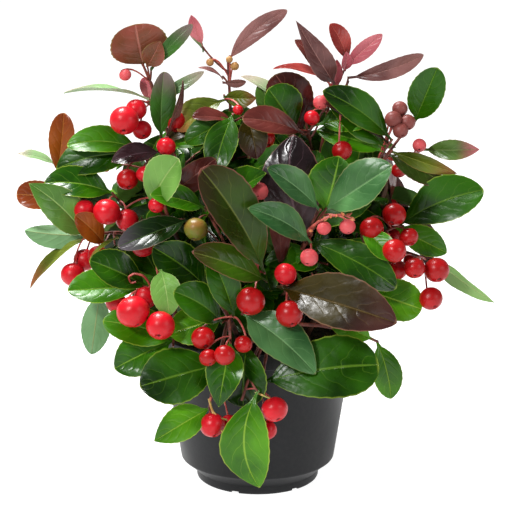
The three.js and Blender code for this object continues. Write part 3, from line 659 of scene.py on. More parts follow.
def soil_skin():
    return rough_skin("potting_soil", "#17110c", "#4a3626", 0.95, (320.0, 0.8), (0.0012, 0.9))


def pot_skin():
    """Moulded black plastic with a satin face and a little dust."""
    skin = Finish("pot_plastic")
    patches, grain = skin.mottle(22.0, 0.3), skin.mottle(420.0, 0.5)
    colour = skin.mix(grain * 0.012, skin.mix(patches, "#0b0c0e", "#141518"), "#8a8780")
    return skin.done(Base_Color=colour, Roughness=patches * 0.14 + 0.4, Specular_IOR_Level=0.28,
                     Normal=skin.relief(grain, distance=0.00003, strength=0.2))


# Small things, made as joined meshes from arrays

class Heap:
    """Points and faces of many small things, joined into one piece. Marks are a leaf's own map, and
    sides say which of the piece's materials each face has."""

    def __init__(self):
        self.points, self.faces, self.marks, self.sides = [], [], [], []
        self.count = 0
        self.nodes = set()

    def add(self, points, faces, owner, marks=None, sides=None):
        self.faces.extend(tuple(self.count + i for i in face) for face in faces)
        self.points.append(points)
        self.marks.append(marks if marks is not None else np.zeros((len(points), 2)))
        self.sides.extend(sides if sides is not None else [0] * len(faces))
        self.count += len(points)
        self.nodes.add(owner)


def select_none():
    for other in bpy.context.view_layer.objects:
        other.select_set(False)


def pick(piece):
    """Makes one object the only selected one, and the active one."""
    select_none()
    piece.select_set(True)
    bpy.context.view_layer.objects.active = piece


def finish_piece(piece, slot, nodes, crease):
    """Smooths a piece up to a crease angle, hangs it on the root body, and hides the CAD parts it
    takes the place of.
    """
    pick(piece)
    bpy.ops.object.shade_smooth_by_angle(angle=math.radians(crease))
    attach(piece, "root")
    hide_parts(*nodes)


def make_piece(name, heap, materials, slot, crease):
    """One finished piece from a heap, in metres."""
    mesh = bpy.data.meshes.new(name)
    mesh.from_pydata((np.concatenate(heap.points) * MM).tolist(), [], heap.faces)
    for material in materials:
        mesh.materials.append(material)
    mesh.polygons.foreach_set("material_index", heap.sides)
    marks = np.concatenate(heap.marks)
    corners = np.empty(len(mesh.loops), dtype=np.int32)
    mesh.loops.foreach_get("vertex_index", corners)
    leaf_map = mesh.uv_layers.new(name="leaf")
    leaf_map.data.foreach_set("uv", marks[corners].astype(np.float32).ravel())
    mesh.update()
    piece = bpy.data.objects.new(name, mesh)
    bpy.context.scene.collection.objects.link(piece)
    finish_piece(piece, slot, sorted(heap.nodes), crease)


def blade_faces(rows, columns):
    """The faces of a closed leaf blade: its upper side, its tip, its underside and its foot.
    Upper points come first, row by row, then the tip, then the inner points of the underside."""
    tip = rows * (columns + 1)

    def over(i, j):
        return i * (columns + 1) + j

    def under(i, j):
        return over(i, j) if j in (0, columns) else tip + 1 + i * (columns - 1) + j - 1

    faces = []
    for j in range(columns):
        for i in range(rows - 1):
            faces.append((over(i, j), over(i + 1, j), over(i + 1, j + 1), over(i, j + 1)))
            faces.append((under(i, j), under(i, j + 1), under(i + 1, j + 1), under(i + 1, j)))
        faces.append((over(rows - 1, j), tip, over(rows - 1, j + 1)))
        faces.append((under(rows - 1, j + 1), tip, under(rows - 1, j)))
    sides = [0, 1] * (len(faces) // 2) + [1]
    foot = [over(0, j) for j in range(columns + 1)]
    faces.append(tuple(foot + [under(0, j) for j in range(columns - 1, 0, -1)]))
    return faces, sides


class Blade:
    """A grid for leaves of one fineness, and the part of it that is free of the twig."""

    def __init__(self, rows, columns):
        shares = np.linspace(0, 1, rows + 1)[:-1]
        spread = 0.5 - 0.5 * np.cos(np.pi * (0.1 + 0.9 * shares))
        self.along = np.concatenate([[0, PETIOLE_SHARE * 0.6],
                                     PETIOLE_SHARE + (1 - PETIOLE_SHARE) * spread])
        self.rows = len(self.along)
        middle = np.linspace(-1, 1, columns + 1)
        self.across = np.sign(middle) * np.abs(middle) ** 0.8
        self.faces, self.sides = blade_faces(self.rows, columns)
        free_start = int(np.searchsorted(self.along, FREE_SHARE)) * (columns + 1)
        self.free_points = list(range(free_start, self.rows * (columns + 1) + 1))
        self.free_faces = [tuple(i - free_start for i in face)
                           for face, side in zip(self.faces, self.sides)
                           if side == 0 and min(face) >= free_start]


FINE_BLADE = Blade(rows=25, columns=6)
GROWN_BLADE = Blade(rows=6, columns=4)


def half_width(share, width, rise, fall):
    """The half width of a leaf at shares of its length: a narrow petiole, then an oval blade."""
    s = np.clip((share - PETIOLE_SHARE) / (1 - PETIOLE_SHARE), 0, 1)
    widest = rise / (rise + fall)
    oval = (s / widest) ** rise * ((1 - s) / (1 - widest)) ** fall
    return np.maximum(oval * width / 2, PETIOLE_HALF_WIDTH * (1 - s) ** 4)


def leaf_points(blade, length, width, shape):
    """The points of a leaf lying along x with its upper side up, and their marks."""
    blunt, base, droop, wave, phase, twist, cup, bow = shape.values()
    t = blade.along[:, None]
    v = blade.across[None, :]
    reach = half_width(t, width, base, blunt)
    if blade is FINE_BLADE:
        teeth = (np.arange(blade.rows) % 2)[:, None] * (t > PETIOLE_SHARE) * (np.abs(v) == 1)
        reach = reach * (1 - TOOTH_DEPTH * teeth)
    hump = 4 * t * (1 - t)
    x = t * length + np.zeros_like(v)
    ripple = wave * width * np.sin(2 * np.pi * (1.4 * t + phase)) * hump
    lift = LEAF_FOLD * cup * (1.5 * np.abs(v) - 0.5 * v ** 2) * reach
    lift = lift + ripple * v ** 2 * np.sign(v + 1e-6)
    arch = LEAF_BULGE * length * hump - droop * length * t ** 3
    angle = math.radians(twist) * t
    y = v * reach * np.cos(angle) - lift * np.sin(angle) + bow * length * hump
    z = v * reach * np.sin(angle) + lift * np.cos(angle) + arch
    top = np.stack([x, y, z], axis=-1)
    thickness = LEAF_THICKNESS * (1 + 2.2 * np.clip(1 - t / 0.16, 0, 1)) * (1 - v ** 2)
    bottom = top[:, 1:-1].copy()
    bottom[..., 2] -= thickness[:, 1:-1]
    tip = [[length, 0, -droop * length]]
    points = np.concatenate([top.reshape(-1, 3), tip, bottom.reshape(-1, 3)])
    marks = np.stack([t + 0 * v, 0.5 + 0.5 * v + 0 * t], axis=-1)
    marks = np.concatenate([marks.reshape(-1, 2), [[1, 0.5]], marks[:, 1:-1].reshape(-1, 2)])
    return points, marks


def leaf_frame(along, facing, roll):
    """The axes of a leaf: x along it, z out of its upper side, which faces the given way."""
    up = (facing - along * facing.dot(along)).normalized()
    up.rotate(Matrix.Rotation(math.radians(roll), 3, along))
    return np.array([along, up.cross(along), up])


class Curve:
    """A quadratic curve that gives its points at shares of its length."""

    def __init__(self, start, middle, end):
        self.ends = (start, middle, end)
        self.steps = np.linspace(0, 1, 65)
        parts = np.linalg.norm(np.diff(self.points(self.steps), axis=0), axis=1)
        self.run = np.concatenate([[0], np.cumsum(parts)])
        self.length = self.run[-1]

    def points(self, shares):
        start, middle, end = (np.array(place) for place in self.ends)
        s = np.asarray(shares)[:, None]
        return (1 - s) ** 2 * start + 2 * s * (1 - s) * middle + s ** 2 * end

    def at(self, share):
        step = np.interp(share * self.length, self.run, self.steps)
        return Vector(self.points([step])[0])


def tube(centres, radii, sides):
    """A closed round limb along points, with a flat cap at each end."""
    centres = np.asarray(centres, dtype=float)
    tangents = np.gradient(centres, axis=0)
    tangents /= np.linalg.norm(tangents, axis=1)[:, None]
    side = np.cross(tangents[0], [0.31, 0.95, 0.05])
    angles = (2 * np.pi * np.arange(sides) / sides)[:, None]
    points = []
    for centre, tangent, radius in zip(centres, tangents, radii):
        side = side - tangent * side.dot(tangent)
        side /= np.linalg.norm(side)
        spread = (np.asarray(radius) * np.ones(sides))[:, None]
        around = np.cos(angles) * side + np.sin(angles) * np.cross(tangent, side)
        points.append(centre + spread * around)
    last = (len(centres) - 1) * sides
    faces = []
    for row in range(0, last, sides):
        for k in range(sides):
            after = (k + 1) % sides
            faces.append((row + k, row + after, row + sides + after, row + sides + k))
    faces.append(tuple(range(sides - 1, -1, -1)))
    faces.append(tuple(last + k for k in range(sides)))
    return np.concatenate(points), faces


def ball(profile, segments, lobes=None):
    """A closed round body from a profile of (radius, height), from its top to its lower pole."""
    angles = 2 * np.pi * np.arange(segments) / segments
    points = [[0, 0, profile[0][1]]]
    for row, (radius, height) in enumerate(profile[1:-1]):
        swell = 1 if lobes is None else 1 + lobes[row] * np.cos(5 * angles)
        ring = np.stack([radius * swell * np.cos(angles), radius * swell * np.sin(angles),
                         np.full(segments, height)], axis=-1)
        points.extend(ring.tolist())
    points.append([0, 0, profile[-1][1]])
    lowest = 1 + (len(profile) - 3) * segments
    faces = []
    for k in range(segments):
        after = (k + 1) % segments
        faces.append((0, 1 + k, 1 + after))
        for a in range(1, lowest, segments):
            faces.append((a + k, a + segments + k, a + segments + after, a + after))
        faces.append((lowest + k, lowest + segments, lowest + after))
    return np.array(points), faces


def berry_body(segments, rings):
    """A berry of unit diameter, its calyx end down: a flattened ball with a lobed dimple in it."""
    turns = [math.pi * i / rings for i in range(1, rings)]
    rows = [(0.5 * math.sin(turn), BERRY_HALF_HEIGHT * math.cos(turn)) for turn in turns]
    rows = [row for row in rows if row[1] >= 0 or row[0] >= DIMPLE_EDGE]
    profile = [(0, BERRY_POLE), *rows, *DIMPLE, (0, -BERRY_STAR)]
    return ball(profile, segments, [0.0] * len(rows) + DIMPLE_LOBES)


FINE_BERRY = berry_body(segments=20, rings=11)
GROWN_BERRY = berry_body(segments=12, rings=7)


def turned_to(points, direction):
    """Points turned so that their lower pole looks along a direction."""
    turn = Vector((0, 0, -1)).rotation_difference(direction).to_matrix()
    return points @ np.array(turn).T


def calyx_star(diameter):
    """The five calyx tips that close the end of a berry, round its worn style."""
    size, rise = STAR_REACH * diameter, STAR_RISE * diameter
    points = [[0, 0, rise]]
    for k in range(10):
        reach, height = (size, -rise) if k % 2 == 0 else (size * STAR_NOTCH, 0)
        turn = math.pi * k / 5
        points.append([reach * math.cos(turn), reach * math.sin(turn), height])
    points.append([0, 0, -STAR_DEPTH * diameter])
    faces = []
    for k in range(10):
        after = (k + 1) % 10
        faces += [(0, 1 + k, 1 + after), (1 + k, 11, 1 + after)]
    return np.array(points), faces


# Growth

leaves = {tint: Heap() for tint in LEAF_TINTS}
berries = {ripeness: Heap() for ripeness in BERRY_COLOURS}
twigs, stems, stalks, pale_stalks, bracts, calyxes = (Heap() for _ in range(6))
grown, hung, bodies, curves = [], [], [], []


def within(name):
    return f"foliage_{name}"


def crosses(points, faces):
    """Whether a leaf's free part crosses anything that has grown already."""
    low, high = points.min(axis=0), points.max(axis=0)
    tree = None
    for other_low, other_high, other in grown:
        if np.all(low < other_high) and np.all(other_low < high):
            tree = tree or BVHTree.FromPolygons(points.tolist(), faces)
            if tree.overlap(other):
                return True
    return False


def remember(points, faces):
    tree = BVHTree.FromPolygons(points.tolist(), faces)
    grown.append((points.min(axis=0), points.max(axis=0), tree))


def leaf_shape(form):
    """What sets one leaf apart: how blunt its tip and base are, its droop, ripple, twist, cup and
    sideways bow. Its own form comes before chance."""
    shape = {key: lerp(*span, next(look)) for key, span in LEAF_FORM.items()}
    return {**shape, **form}


def grow_leaf(owner, base, along, facing, length, width, roll, tint, blade, form={}):
    """Adds one leaf, turned a little where it would cross something. A leaf in view is kept as it
    is placed where no turn helps, and another one is left out."""
    points, marks = leaf_points(blade, length, width, leaf_shape(form))
    points[:, 0] -= LEAF_ROOT_DEPTH * (1 - points[:, 0] / length)
    sideways = facing.cross(along).normalized()
    in_view = blade is FINE_BLADE
    turns = FRONT_TURNS if in_view else LEAF_TURNS
    for number, turn in enumerate(turns):
        turned = along.copy()
        turned.rotate(Matrix.Rotation(math.radians(turn), 3, sideways))
        placed = points @ leaf_frame(turned, facing, roll) + np.array(base)
        free = placed[blade.free_points]
        kept = in_view and number == len(turns) - 1
        if kept or not crosses(free, blade.free_faces):
            leaves[tint].add(placed, blade.faces, within(owner), marks, blade.sides)
            remember(free, blade.free_faces)
            return True
    return False


def limb(heap, owner, curve, start_radius, end_radius, sides, steps, rough=0.0):
    """A tapering limb along a curve, its bark made uneven by random bumps in its radius."""
    shares = np.linspace(0, 1, steps + 1)
    radii = []
    for share in shares:
        knots = [1 + rough * lerp(-1, 1, next(look)) for _ in range(sides)]
        radii.append(lerp(start_radius, end_radius, share) * np.array(knots))
    heap.add(*tube([curve.at(share) for share in shares], radii, sides), owner)


def grow_stem(owner, foot, hub):
    """A stem rises steeply out of the soil and then leans out to its hub."""
    start = Vector((*foot, SOIL_TOP / MM - STEM_SINK))
    rise = start.lerp(hub, STEM_LEAN)
    rise.z = lerp(start.z, hub.z, STEM_RISE)
    curve = Curve(start, rise, hub)
    limb(stems, f"stem_{owner}", curve, STEM_FOOT_RADIUS, STEM_TIP_RADIUS,
         sides=10, steps=40, rough=0.1)
    curves.append((owner, curve, STEM_BARE))


def twig_curve(hub, tip):
    """The twig from a hub to a sprig's tip rises first and then reaches out."""
    middle = hub.lerp(tip, 0.5)
    middle.z += TWIG_ARCH * (tip - hub).length
    return Curve(hub, middle, tip)


def grow_twig(owner, curve):
    limb(twigs, within(owner), curve, TWIG_ROOT_RADIUS, TWIG_TIP_RADIUS,
         sides=7, steps=12, rough=0.08)
    curves.append((owner, curve, TWIG_BARE))


def nearest(curve, place):
    """The share of a curve's length where it is nearest to a place."""
    shares = np.linspace(0.1, 1, 40)
    return shares[int(np.argmin([(curve.at(share) - place).length for share in shares]))]


def side_twig(owner, curve, place, thickness):
    """A short twig that leaves a curve a little below a place and reaches it."""
    start = curve.at(max(LEAST_SHARE, nearest(curve, place) - SIDE_TWIG_RUN / curve.length))
    middle = start.lerp(place, 0.5) + (place - start).orthogonal() * 0.08
    limb(twigs, within(owner), Curve(start, middle, place), thickness, thickness * 0.75,
         sides=6, steps=6, rough=0.05)


def leaf_base(curve, rank):
    return curve.at(max(LEAST_SHARE, 1 - (rank + 0.4) * LEAF_STEP / curve.length))


def add_flap(owner, place, direction, up, length, width):
    """A bract: a small pointed scale that grows from a place in a direction."""
    points = np.array([[0, -width / 2, 0], [0, width / 2, 0], [length, 0, length * 0.12],
                       [length * 0.4, 0, length * 0.2], [length * 0.35, -width * 0.6, 0.02],
                       [length * 0.35, width * 0.6, 0.02], [length * 0.4, 0, -length * 0.06]])
    faces = [(0, 4, 3), (4, 2, 3), (3, 2, 5), (3, 5, 1), (0, 3, 1),
             (0, 6, 4), (4, 6, 2), (6, 5, 2), (6, 1, 5), (0, 1, 6)]
    up = (up - direction * up.dot(direction)).normalized()
    axes = np.array([direction, up.cross(direction), up])
    bracts.add(points @ axes + np.array(place), faces, within(owner))


def has_room(centre, diameter):
    """Whether a berry would hang clear of all the others."""
    return all((centre - other).length > (diameter + size) / 2 for other, size in hung)


def hang_berry(owner, curve, centre, diameter, ripeness, rank, outward, shape=FINE_BERRY):
    """A berry on its curved stalk, with a star of calyx tips under it and bracts above it."""
    hung.append((centre, diameter))
    start = curve.at(max(0.1, STALK_START - STALK_STEP * rank))
    sway = Vector((next(look) - 0.5, next(look) - 0.5, 0)) * HANG_SWAY
    hang = (outward * HANG_OUT + Vector((0, 0, -HANG_DOWN)) + sway).normalized()
    top = centre - hang * BERRY_STALK_END * diameter
    over = start.lerp(top, 0.6)
    over.z = max(start.z, top.z) + STALK_ARCH
    limb(twigs if ripeness == "green" else stalks, within(owner), Curve(start, over, top),
         STALK_RADIUS, STALK_RADIUS * 1.1, sides=6, steps=7)
    flatness = lerp(*BERRY_FLATNESS, next(look))
    body, faces = shape
    body = turned_to(body * np.array([1, 1, flatness]) * diameter, hang) + np.array(centre)
    berries[ripeness].add(body, faces, within(owner))
    bodies.append((body, faces))
    place = centre + hang * BERRY_STAR * diameter * flatness
    star, star_faces = calyx_star(diameter)
    calyxes.add(turned_to(star, hang) + np.array(place), star_faces, within(owner))
    across = hang.orthogonal().normalized()
    for turn in (0, 180):
        side = across.copy()
        side.rotate(Matrix.Rotation(math.radians(turn + 60 * next(look)), 3, hang))
        add_flap(owner, top - hang * 0.2, (side * 0.85 + hang * 0.25).normalized(), -hang,
                 *BRACT_SIZE)


def front_direction(clock, out):
    flat = math.cos(math.radians(out))
    turn = math.radians(clock)
    return Vector((flat * math.cos(turn), -math.sin(math.radians(out)), flat * math.sin(turn)))


for number, (name, (foot, hub, sprigs)) in enumerate(FRONT_MASSES.items()):
    look = chance(CHANCE_STEP * (number + 3))
    hub = Vector(hub)
    grow_stem(name, foot, hub)
    own_curves = [twig_curve(hub, tip) for tip, _, _, _ in sprigs]
    for (tip, leaf_rows, berry_rows, on), curve in zip(sprigs, own_curves):
        if on is None:
            grow_twig(name, curve)
        else:
            carrier = own_curves[on]
            side_twig(name, carrier, tip, TWIG_TIP_RADIUS)
            start = carrier.at(nearest(carrier, tip)).lerp(hub, 0.3)
            curve = Curve(start, tip.lerp(hub, 0.12), tip)
        for rank, (clock, out, length, width, roll, tint, *form) in enumerate(leaf_rows):
            form = dict(*form)
            base = leaf_base(curve, min(rank, 4))
            if "at" in form:
                base = Vector(form.pop("at"))
                side_twig(name, curve, base, LEAF_TWIG_RADIUS)
            grow_leaf(name, base, front_direction(clock, out), FRONT_FACING, length, width, roll,
                      tint, FINE_BLADE, form)
        for rank, (x, y, z, diameter, ripeness) in enumerate(berry_rows):
            hang_berry(name, curve, Vector((x, y, z)), diameter, ripeness, rank % 5, FRONT)


def draw_stalk(heap, owner, places, radius):
    """A thin stalk through places, its corners rounded off."""
    steps = np.linspace(0, 1, len(places))
    fine = np.linspace(0, 1, 4 * len(places))
    line = np.stack([np.interp(fine, steps, column) for column in np.array(places).T], axis=-1)
    line[1:-1] = (line[:-2] + 2 * line[1:-1] + line[2:]) / 4
    radii = np.linspace(radius * 1.15, radius * 0.85, len(line))
    heap.add(*tube(line, radii, 6), within(owner))
    return line


draw_stalk(stalks, *RED_CURL, 0.7)
for stalk in PALE_STALKS:
    draw_stalk(pale_stalks, *stalk, 0.6)
for place in draw_stalk(stalks, *BRACT_STALK, 0.65)[2::2]:
    side = Vector((0.2, 0, 1))
    side.rotate(Matrix.Rotation(2 * math.pi * next(look), 3, Vector((1, 0, 0.2))))
    add_flap(BRACT_STALK[0], place, (side + Vector((0.6, -0.4, 0))).normalized(),
             Vector((0, -1, 0.2)), lerp(*BRACT_LENGTHS, next(look)),
             lerp(*BRACT_WIDTHS, next(look)))


# The leaves that grow from here on keep clear of the berries in view.
for body in bodies[:]:
    remember(*body)


def inside(point, centre, radii, share=1.0):
    return Vector((p - c) / (r * share) for p, c, r in zip(point, centre, radii)).length < 1


def crown_point(turn, rise, share):
    turn, rise = math.radians(turn), math.radians(rise)
    flat = math.cos(rise)
    way = Vector((flat * math.cos(turn), flat * math.sin(turn), math.sin(rise)))
    return CROWN_CENTRE + Vector(w * r * share for w, r in zip(way, CROWN_RADII))


def dealt_tint(height):
    """A tint for a sprig: mostly green, with more bronze, mauve and pink near the top."""
    shares = {tint: share + (HIGH_SHARES.get(tint, 0) if height > BRIGHT_HEIGHT else 0)
              for tint, share in TINT_SHARES.items()}
    place = next(look) * sum(shares.values())
    for tint, share in shares.items():
        place -= share
        if place < 0:
            return tint
    return "mid"


def whorl_directions(outward, spreads, draw):
    """The directions of a whorl's leaves round the way its twig points, and shares of length."""
    side = Vector((0, 0, 1)).cross(outward).normalized()
    above = outward.cross(side)
    start = 360 * next(draw)
    for i in range(WHORL_LEAVES):
        turn = math.radians(start + GOLDEN_ANGLE * i)
        spread = math.radians(lerp(*spreads, next(draw)))
        length_share = next(draw)
        along = outward * math.cos(spread)
        along += (side * math.cos(turn) + above * math.sin(turn)) * math.sin(spread)
        yield along, length_share


# The rule's own draws come first, mass by mass: each hub and the tips of its sprigs.
draw = chance(4021)
look = chance(1511)
hidden = []
for name, (turn, rise, share, leaf_sizes, sprig_count, laden) in HIDDEN_MASSES.items():
    hub = crown_point(sum(turn) / 2, sum(rise) / 2, HUB_SHARE * share)
    tips = []
    for i in range(sprig_count):
        across = (i + 0.2 + 0.6 * next(draw)) / sprig_count
        up = (i * 0.618 + 0.5 * next(draw)) % 1
        reach = share * (0.96 + 0.08 * next(draw))
        tips.append(crown_point(lerp(*turn, across), lerp(*rise, up), reach))
    hidden.append((name, hub, tips, leaf_sizes, laden))

for name, hub, tips, leaf_sizes, laden in hidden:
    grow_stem(name, (hub.x * FOOT_SHARE, hub.y * FOOT_SHARE), hub)
    leafy = []
    for tip in tips:
        curve = twig_curve(hub, tip)
        grow_twig(name, curve)
        if (tip - BARE_SPRIG).length >= BARE_REACH:
            leafy.append((tip, curve, (tip - CROWN_CENTRE).normalized()))
    inner = name.startswith("inner")
    for tip, curve, outward in leafy:
        rising = outward.copy()
        rising.z += WHORL_LIFT
        rising.normalize()
        tint = "deep" if inner else dealt_tint(tip.z)
        for i, (along, length_share) in enumerate(whorl_directions(rising, WHORL_SPREAD, draw)):
            length = lerp(*leaf_sizes, length_share)
            base = leaf_base(curve, i)
            end = base + along * length
            if inside(end, CROWN_CENTRE, CROWN_RADII) and not (inner and end.y < INNER_FRONT):
                own = tint if tint == "deep" or next(look) < OWN_TINT_SHARE else dealt_tint(tip.z)
                grow_leaf(name, base, along, rising, length, LEAF_SLENDERNESS * length, 0, own,
                          GROWN_BLADE)
    for tip, curve, outward in leafy[:laden]:
        below = tip + outward * BERRY_HANG[0]
        below.z -= BERRY_HANG[1]
        diameter = lerp(*BERRY_SIZES, next(draw))
        hang_berry(name, curve, below, diameter, "ripe", 0, outward, GROWN_BERRY)
        for extra in (1, 2):
            shift = Vector((next(look) - 0.5, next(look) - 0.5, -0.3 - next(look)))
            place = below + shift * EXTRA_BERRY_REACH
            diameter = lerp(*EXTRA_BERRY_SIZES, next(look))
            if has_room(place, diameter):
                hang_berry(name, curve, place, diameter, "ripe", extra, outward, GROWN_BERRY)

# Side sprigs carry the whorls out into the room that is left inside the crown.
look = chance(2203)
for name, curve, first in curves:
    for step in range(SIDE_SPRIGS):
        start = curve.at(lerp(first, SIDE_END, (step + next(look)) / SIDE_SPRIGS))
        outward = Vector((start.x - CROWN_CENTRE.x, start.y - CROWN_CENTRE.y, 0)).normalized()
        sway = Vector((next(look) - 0.5, next(look) - 0.5, next(look) * 0.8 - 0.1))
        way = (sway * 1.7 + outward * 0.5).normalized()
        tip = start + way * lerp(*SIDE_REACH, next(look))
        if tip.z < FILL_FLOOR or not inside(tip, FILL_CENTRE, FILL_RADII):
            continue
        twig = twig_curve(start, tip)
        # Side sprigs towards the front, and half of the rest, take the darkest green as painted
        # shade inside the crown.
        deep = tip.y < FILL_SHADE_BEFORE or next(look) < 0.5
        tint = "deep" if deep else dealt_tint(tip.z)
        lift = (tip - start).normalized() + Vector((0, 0, 0.3))
        kept = 0
        for i, (along, length_share) in enumerate(
                whorl_directions(lift.normalized(), SIDE_SPREAD, look)):
            length = lerp(*SIDE_LEAF, length_share)
            base = leaf_base(twig, i)
            end = base + along * length
            if end.z > FILL_FLOOR - FILL_SAG and inside(end, FILL_CENTRE, FILL_RADII, SIDE_SPARE):
                facing = (along.cross(lift).cross(along) + Vector((0, 0, 0.6))).normalized()
                kept += grow_leaf(name, base, along, facing, length, SIDE_SLENDERNESS * length, 0,
                                  tint, GROWN_BLADE)
        if kept:
            limb(twigs, within(name), twig, *SIDE_TWIG_RADII, sides=5, steps=5)


# The pot

def turned_solid(name, rows, sides):
    """A closed round solid: a disc drawn out ring by ring along (radius, height) rows."""
    select_none()
    bpy.ops.mesh.primitive_circle_add(vertices=sides, radius=rows[0][0], fill_type="NGON",
                                      location=(0, 0, rows[0][1]))
    piece = bpy.context.active_object
    piece.name = name
    bpy.ops.object.mode_set(mode="EDIT")
    bpy.ops.mesh.select_all(action="SELECT")
    for (before, low), (after, high) in zip(rows, rows[1:]):
        bpy.ops.mesh.extrude_region_move(TRANSFORM_OT_translate={"value": (0, 0, high - low)})
        share = after / before
        bpy.ops.transform.resize(value=(share, share, 1), center_override=(0, 0, high))
    bpy.ops.mesh.select_all(action="SELECT")
    bpy.ops.mesh.normals_make_consistent(inside=False)
    bpy.ops.object.mode_set(mode="OBJECT")
    bpy.ops.object.transform_apply(location=True, rotation=True, scale=True)
    return piece


def arc(centre, radius, start, end, steps):
    """Rows of a rounded edge, from one angle to another in degrees."""
    turns = [math.radians(lerp(start, end, i / steps)) for i in range(steps + 1)]
    return [(centre[0] + radius * math.cos(t), centre[1] + radius * math.sin(t)) for t in turns]


def pot_wall_at(height):
    return SHOULDER_RADIUS + POT_TAPER * (height - SHOULDER_HEIGHT)


def pot_rows():
    """The pot's outline: up its foot, shoulder, wall and rim, and down inside."""
    rim_under, rim_top = POT_HEIGHT - POT_RIM_DEPTH, POT_HEIGHT - POT_RIM_ROUND
    rim, lip = POT_RIM_RADIUS - POT_RIM_ROUND, POT_RIM_RADIUS - POT_LIP + POT_RIM_ROUND
    foot, shoulder = FOOT_RADIUS - FOOT_ROUND, SHOULDER_RADIUS - SHOULDER_ROUND
    inner_foot = FOOT_RADIUS - POT_WALL
    return [
        (foot, 0),
        *arc((foot, FOOT_ROUND), FOOT_ROUND, -60, 0, 3),
        (FOOT_RADIUS, FOOT_HEIGHT),
        (shoulder, SHOULDER_HEIGHT - SHOULDER_ROUND),
        *arc((shoulder, SHOULDER_HEIGHT), SHOULDER_ROUND, -60, 0, 3),
        *((pot_wall_at(z), z) for z in np.linspace(WALL_START, rim_under, 8)),
        *arc((rim, rim_under + POT_RIM_ROUND), POT_RIM_ROUND, -90, 0, 4),
        *arc((rim, rim_top), POT_RIM_ROUND, 0, 90, 4),
        *arc((lip, rim_top), POT_RIM_ROUND, 90, 180, 4),
        (pot_wall_at(rim_under) - POT_WALL, rim_under - POT_RIM_ROUND),
        (SHOULDER_RADIUS - POT_WALL, SHOULDER_HEIGHT),
        (inner_foot, FOOT_HEIGHT + POT_WALL),
        (inner_foot, FLOOR_THICKNESS),
    ]


def cut(piece, cutters):
    """Cuts the cutters out of a piece."""
    for cutter in cutters:
        pick(piece)
        change = piece.modifiers.new("cut", "BOOLEAN")
        change.operation = "DIFFERENCE"
        change.solver = "EXACT"
        change.object = cutter
        bpy.ops.object.modifier_apply(modifier=change.name)
        bpy.data.objects.remove(cutter, do_unlink=True)


def ring_places(count, first, radius):
    """Turns and places evenly round the pot's axis, on its underside."""
    for i in range(count):
        turn = math.radians(first + 360 * i / count)
        yield turn, (radius * math.cos(turn), radius * math.sin(turn), 0)


pot = turned_solid("pot_body", pot_rows(), POT_SIDES)
cutters = []
for _, place in ring_places(DRAIN_COUNT, 45, DRAIN_RING):
    bpy.ops.mesh.primitive_cylinder_add(vertices=32, radius=DRAIN_RADIUS,
                                        depth=4 * FLOOR_THICKNESS, location=place)
    cutters.append(bpy.context.active_object)
for turn, place in ring_places(NOTCH_COUNT, NOTCH_TURN, FOOT_RADIUS):
    bpy.ops.mesh.primitive_cube_add(size=1, location=place, rotation=(0, 0, turn),
                                    scale=(2 * NOTCH_DEPTH, NOTCH_WIDTH, 2 * NOTCH_HEIGHT))
    cutters.append(bpy.context.active_object)
cut(pot, cutters)
pot.data.materials.append(pot_skin())
finish_piece(pot, "pot", ["pot"], 32)


# The soil

def soil_piece():
    """Soil that fills the pot, with a crumbly top."""
    inset = POT_WALL + SOIL_GAP
    edge = SOIL_TOP - SOIL_EDGE
    foot, outer = FOOT_RADIUS - inset, pot_wall_at(edge) - inset - SOIL_SHOULDER
    rows = [(foot, FLOOR_THICKNESS + 0.0003), (foot, FOOT_HEIGHT + inset),
            (SHOULDER_RADIUS - inset, SHOULDER_HEIGHT + SOIL_GAP),
            (pot_wall_at(edge) - inset, edge)]
    rows += [(outer * (1 - k / SOIL_RINGS), SOIL_TOP) for k in range(SOIL_RINGS)]
    piece = turned_solid("soil_bed", rows, 96)
    chunks = chance(61)
    for vertex in piece.data.vertices:
        place = vertex.co
        if place.z > SOIL_TOP - 0.0001 and place.xy.length < outer + 0.001:
            place.x += SOIL_SHIFT * (next(chunks) - 0.5)
            place.y += SOIL_SHIFT * (next(chunks) - 0.5)
            place.z += SOIL_BUMPS * (next(chunks) - 0.55)
    return piece


soil = soil_piece()
soil.data.materials.append(soil_skin())
finish_piece(soil, "soil", ["soil"], 180)

crumbs = Heap()
scatter = chance(83)
body, faces = ball([(0, 0.5), (0.42, 0.3), (0.5, -0.1), (0.3, -0.42), (0, -0.5)], 6)
for _ in range(CRUMB_COUNT):
    turn, reach = 2 * math.pi * next(scatter), CRUMB_RING * math.sqrt(next(scatter))
    size = lerp(*CRUMB_SIZES, next(scatter) ** 2)
    squash = np.array([lerp(*sizes, next(scatter)) for sizes in CRUMB_SQUASH])
    turned = Matrix.Rotation(6 * next(scatter), 3, "Z") @ Matrix.Rotation(next(scatter), 3, "X")
    place = np.array([reach * math.cos(turn), reach * math.sin(turn), SOIL_TOP / MM + 0.15 * size])
    crumbs.add((body * squash * size) @ np.array(turned).T + place, faces, "soil")
make_piece("soil_crumbs", crumbs, [soil_skin()], "soil", 40)

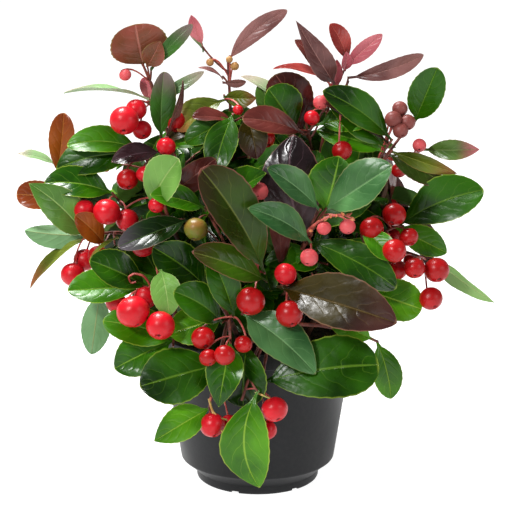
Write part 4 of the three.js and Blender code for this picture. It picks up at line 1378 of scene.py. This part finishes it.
# The plant's pieces
for tint, colours in LEAF_TINTS.items():
    make_piece(f"leaves_{tint}", leaves[tint],
               [leaf_skin(tint, colours), leaf_back(tint, colours)], "foliage", LEAF_CREASE)
for ripeness, looks in BERRY_COLOURS.items():
    make_piece(f"berries_{ripeness}", berries[ripeness], [berry_skin(ripeness, *looks)],
               "foliage", 60)
for name, heap, slot, crease, *looks in (
        ("berry_stars", calyxes, "foliage", 30, "calyx_red", "#3c0508", "#7c1016", 0.5),
        ("bracts", bracts, "foliage", 60, "bract_orange", "#9c3c28", "#d08a58", 0.5),
        ("pale_stalks", pale_stalks, "foliage", 60, "stalk_pale", "#8a9448", "#c08a4c", 0.45),
        ("berry_stalks", stalks, "foliage", 60, "stalk_pink", "#8c2f2c", "#b85a4e", 0.45),
        ("twigs", twigs, "foliage", 60, "twig_bark", "#4a1f18", "#7d3a2c", 0.55),
        ("stem_bark", stems, "stem", 50, "stem_bark", "#33201a", "#6e3f30", 0.75)):
    make_piece(name, heap, [rough_skin(*looks)], slot, crease)


# The stage, the light and the camera

FLOOR_SIZE = 16
WORLD_STRENGTH = 0.22
LIT_PLACE = (0, 0, 0.15)
LAMPS = [["overhead", (-0.35, 0.3, 1.25), 0.45, 32],
         ["front_left", (-0.9, -1.3, 1.2), 0.3, 26.5],
         ["front_right", (1.2, -0.9, 0.7), 0.7, 5]]
CAMERA_PLACE = (-0.003, -1.1, 0.42)
CAMERA_PITCH = 14.56
CAMERA_LENS = 138.5
SENSOR_WIDTH = 36


def place_in_scene(name, data, place, turn):
    thing = bpy.data.objects.new(name, data)
    thing.location, thing.rotation_euler = place, turn
    bpy.context.scene.collection.objects.link(thing)
    return thing


select_none()
bpy.ops.mesh.primitive_plane_add(size=FLOOR_SIZE, location=(0, 0, 0))
floor = bpy.context.active_object
floor.name = "white_floor"
floor.data.materials.append(Finish("white_paper").done(
    Base_Color=(0.3, 0.3, 0.3, 1), Roughness=0.9, Specular_IOR_Level=0.1,
    Emission_Color=(1, 1, 1, 1), Emission_Strength=0.95))

world = bpy.data.worlds.new("studio")
world.use_nodes = True
sky = world.node_tree.nodes["Background"]
sky.inputs["Color"].default_value = (1, 1, 1, 1)
sky.inputs["Strength"].default_value = WORLD_STRENGTH
bpy.context.scene.world = world

for name, place, size, power in LAMPS:
    lamp = bpy.data.lights.new(name, "AREA")
    lamp.shape, lamp.size, lamp.energy = "DISK", size, power
    towards = Vector(LIT_PLACE) - Vector(place)
    place_in_scene(name, lamp, place, towards.to_track_quat("-Z", "Y").to_euler())

camera_data = bpy.data.cameras.new("camera")
camera_data.sensor_width, camera_data.lens = SENSOR_WIDTH, CAMERA_LENS
bpy.context.scene.camera = place_in_scene("camera", camera_data, CAMERA_PLACE,
                                          (math.radians(90 - CAMERA_PITCH), 0, 0))
bpy.context.scene.view_settings.view_transform = "Standard"
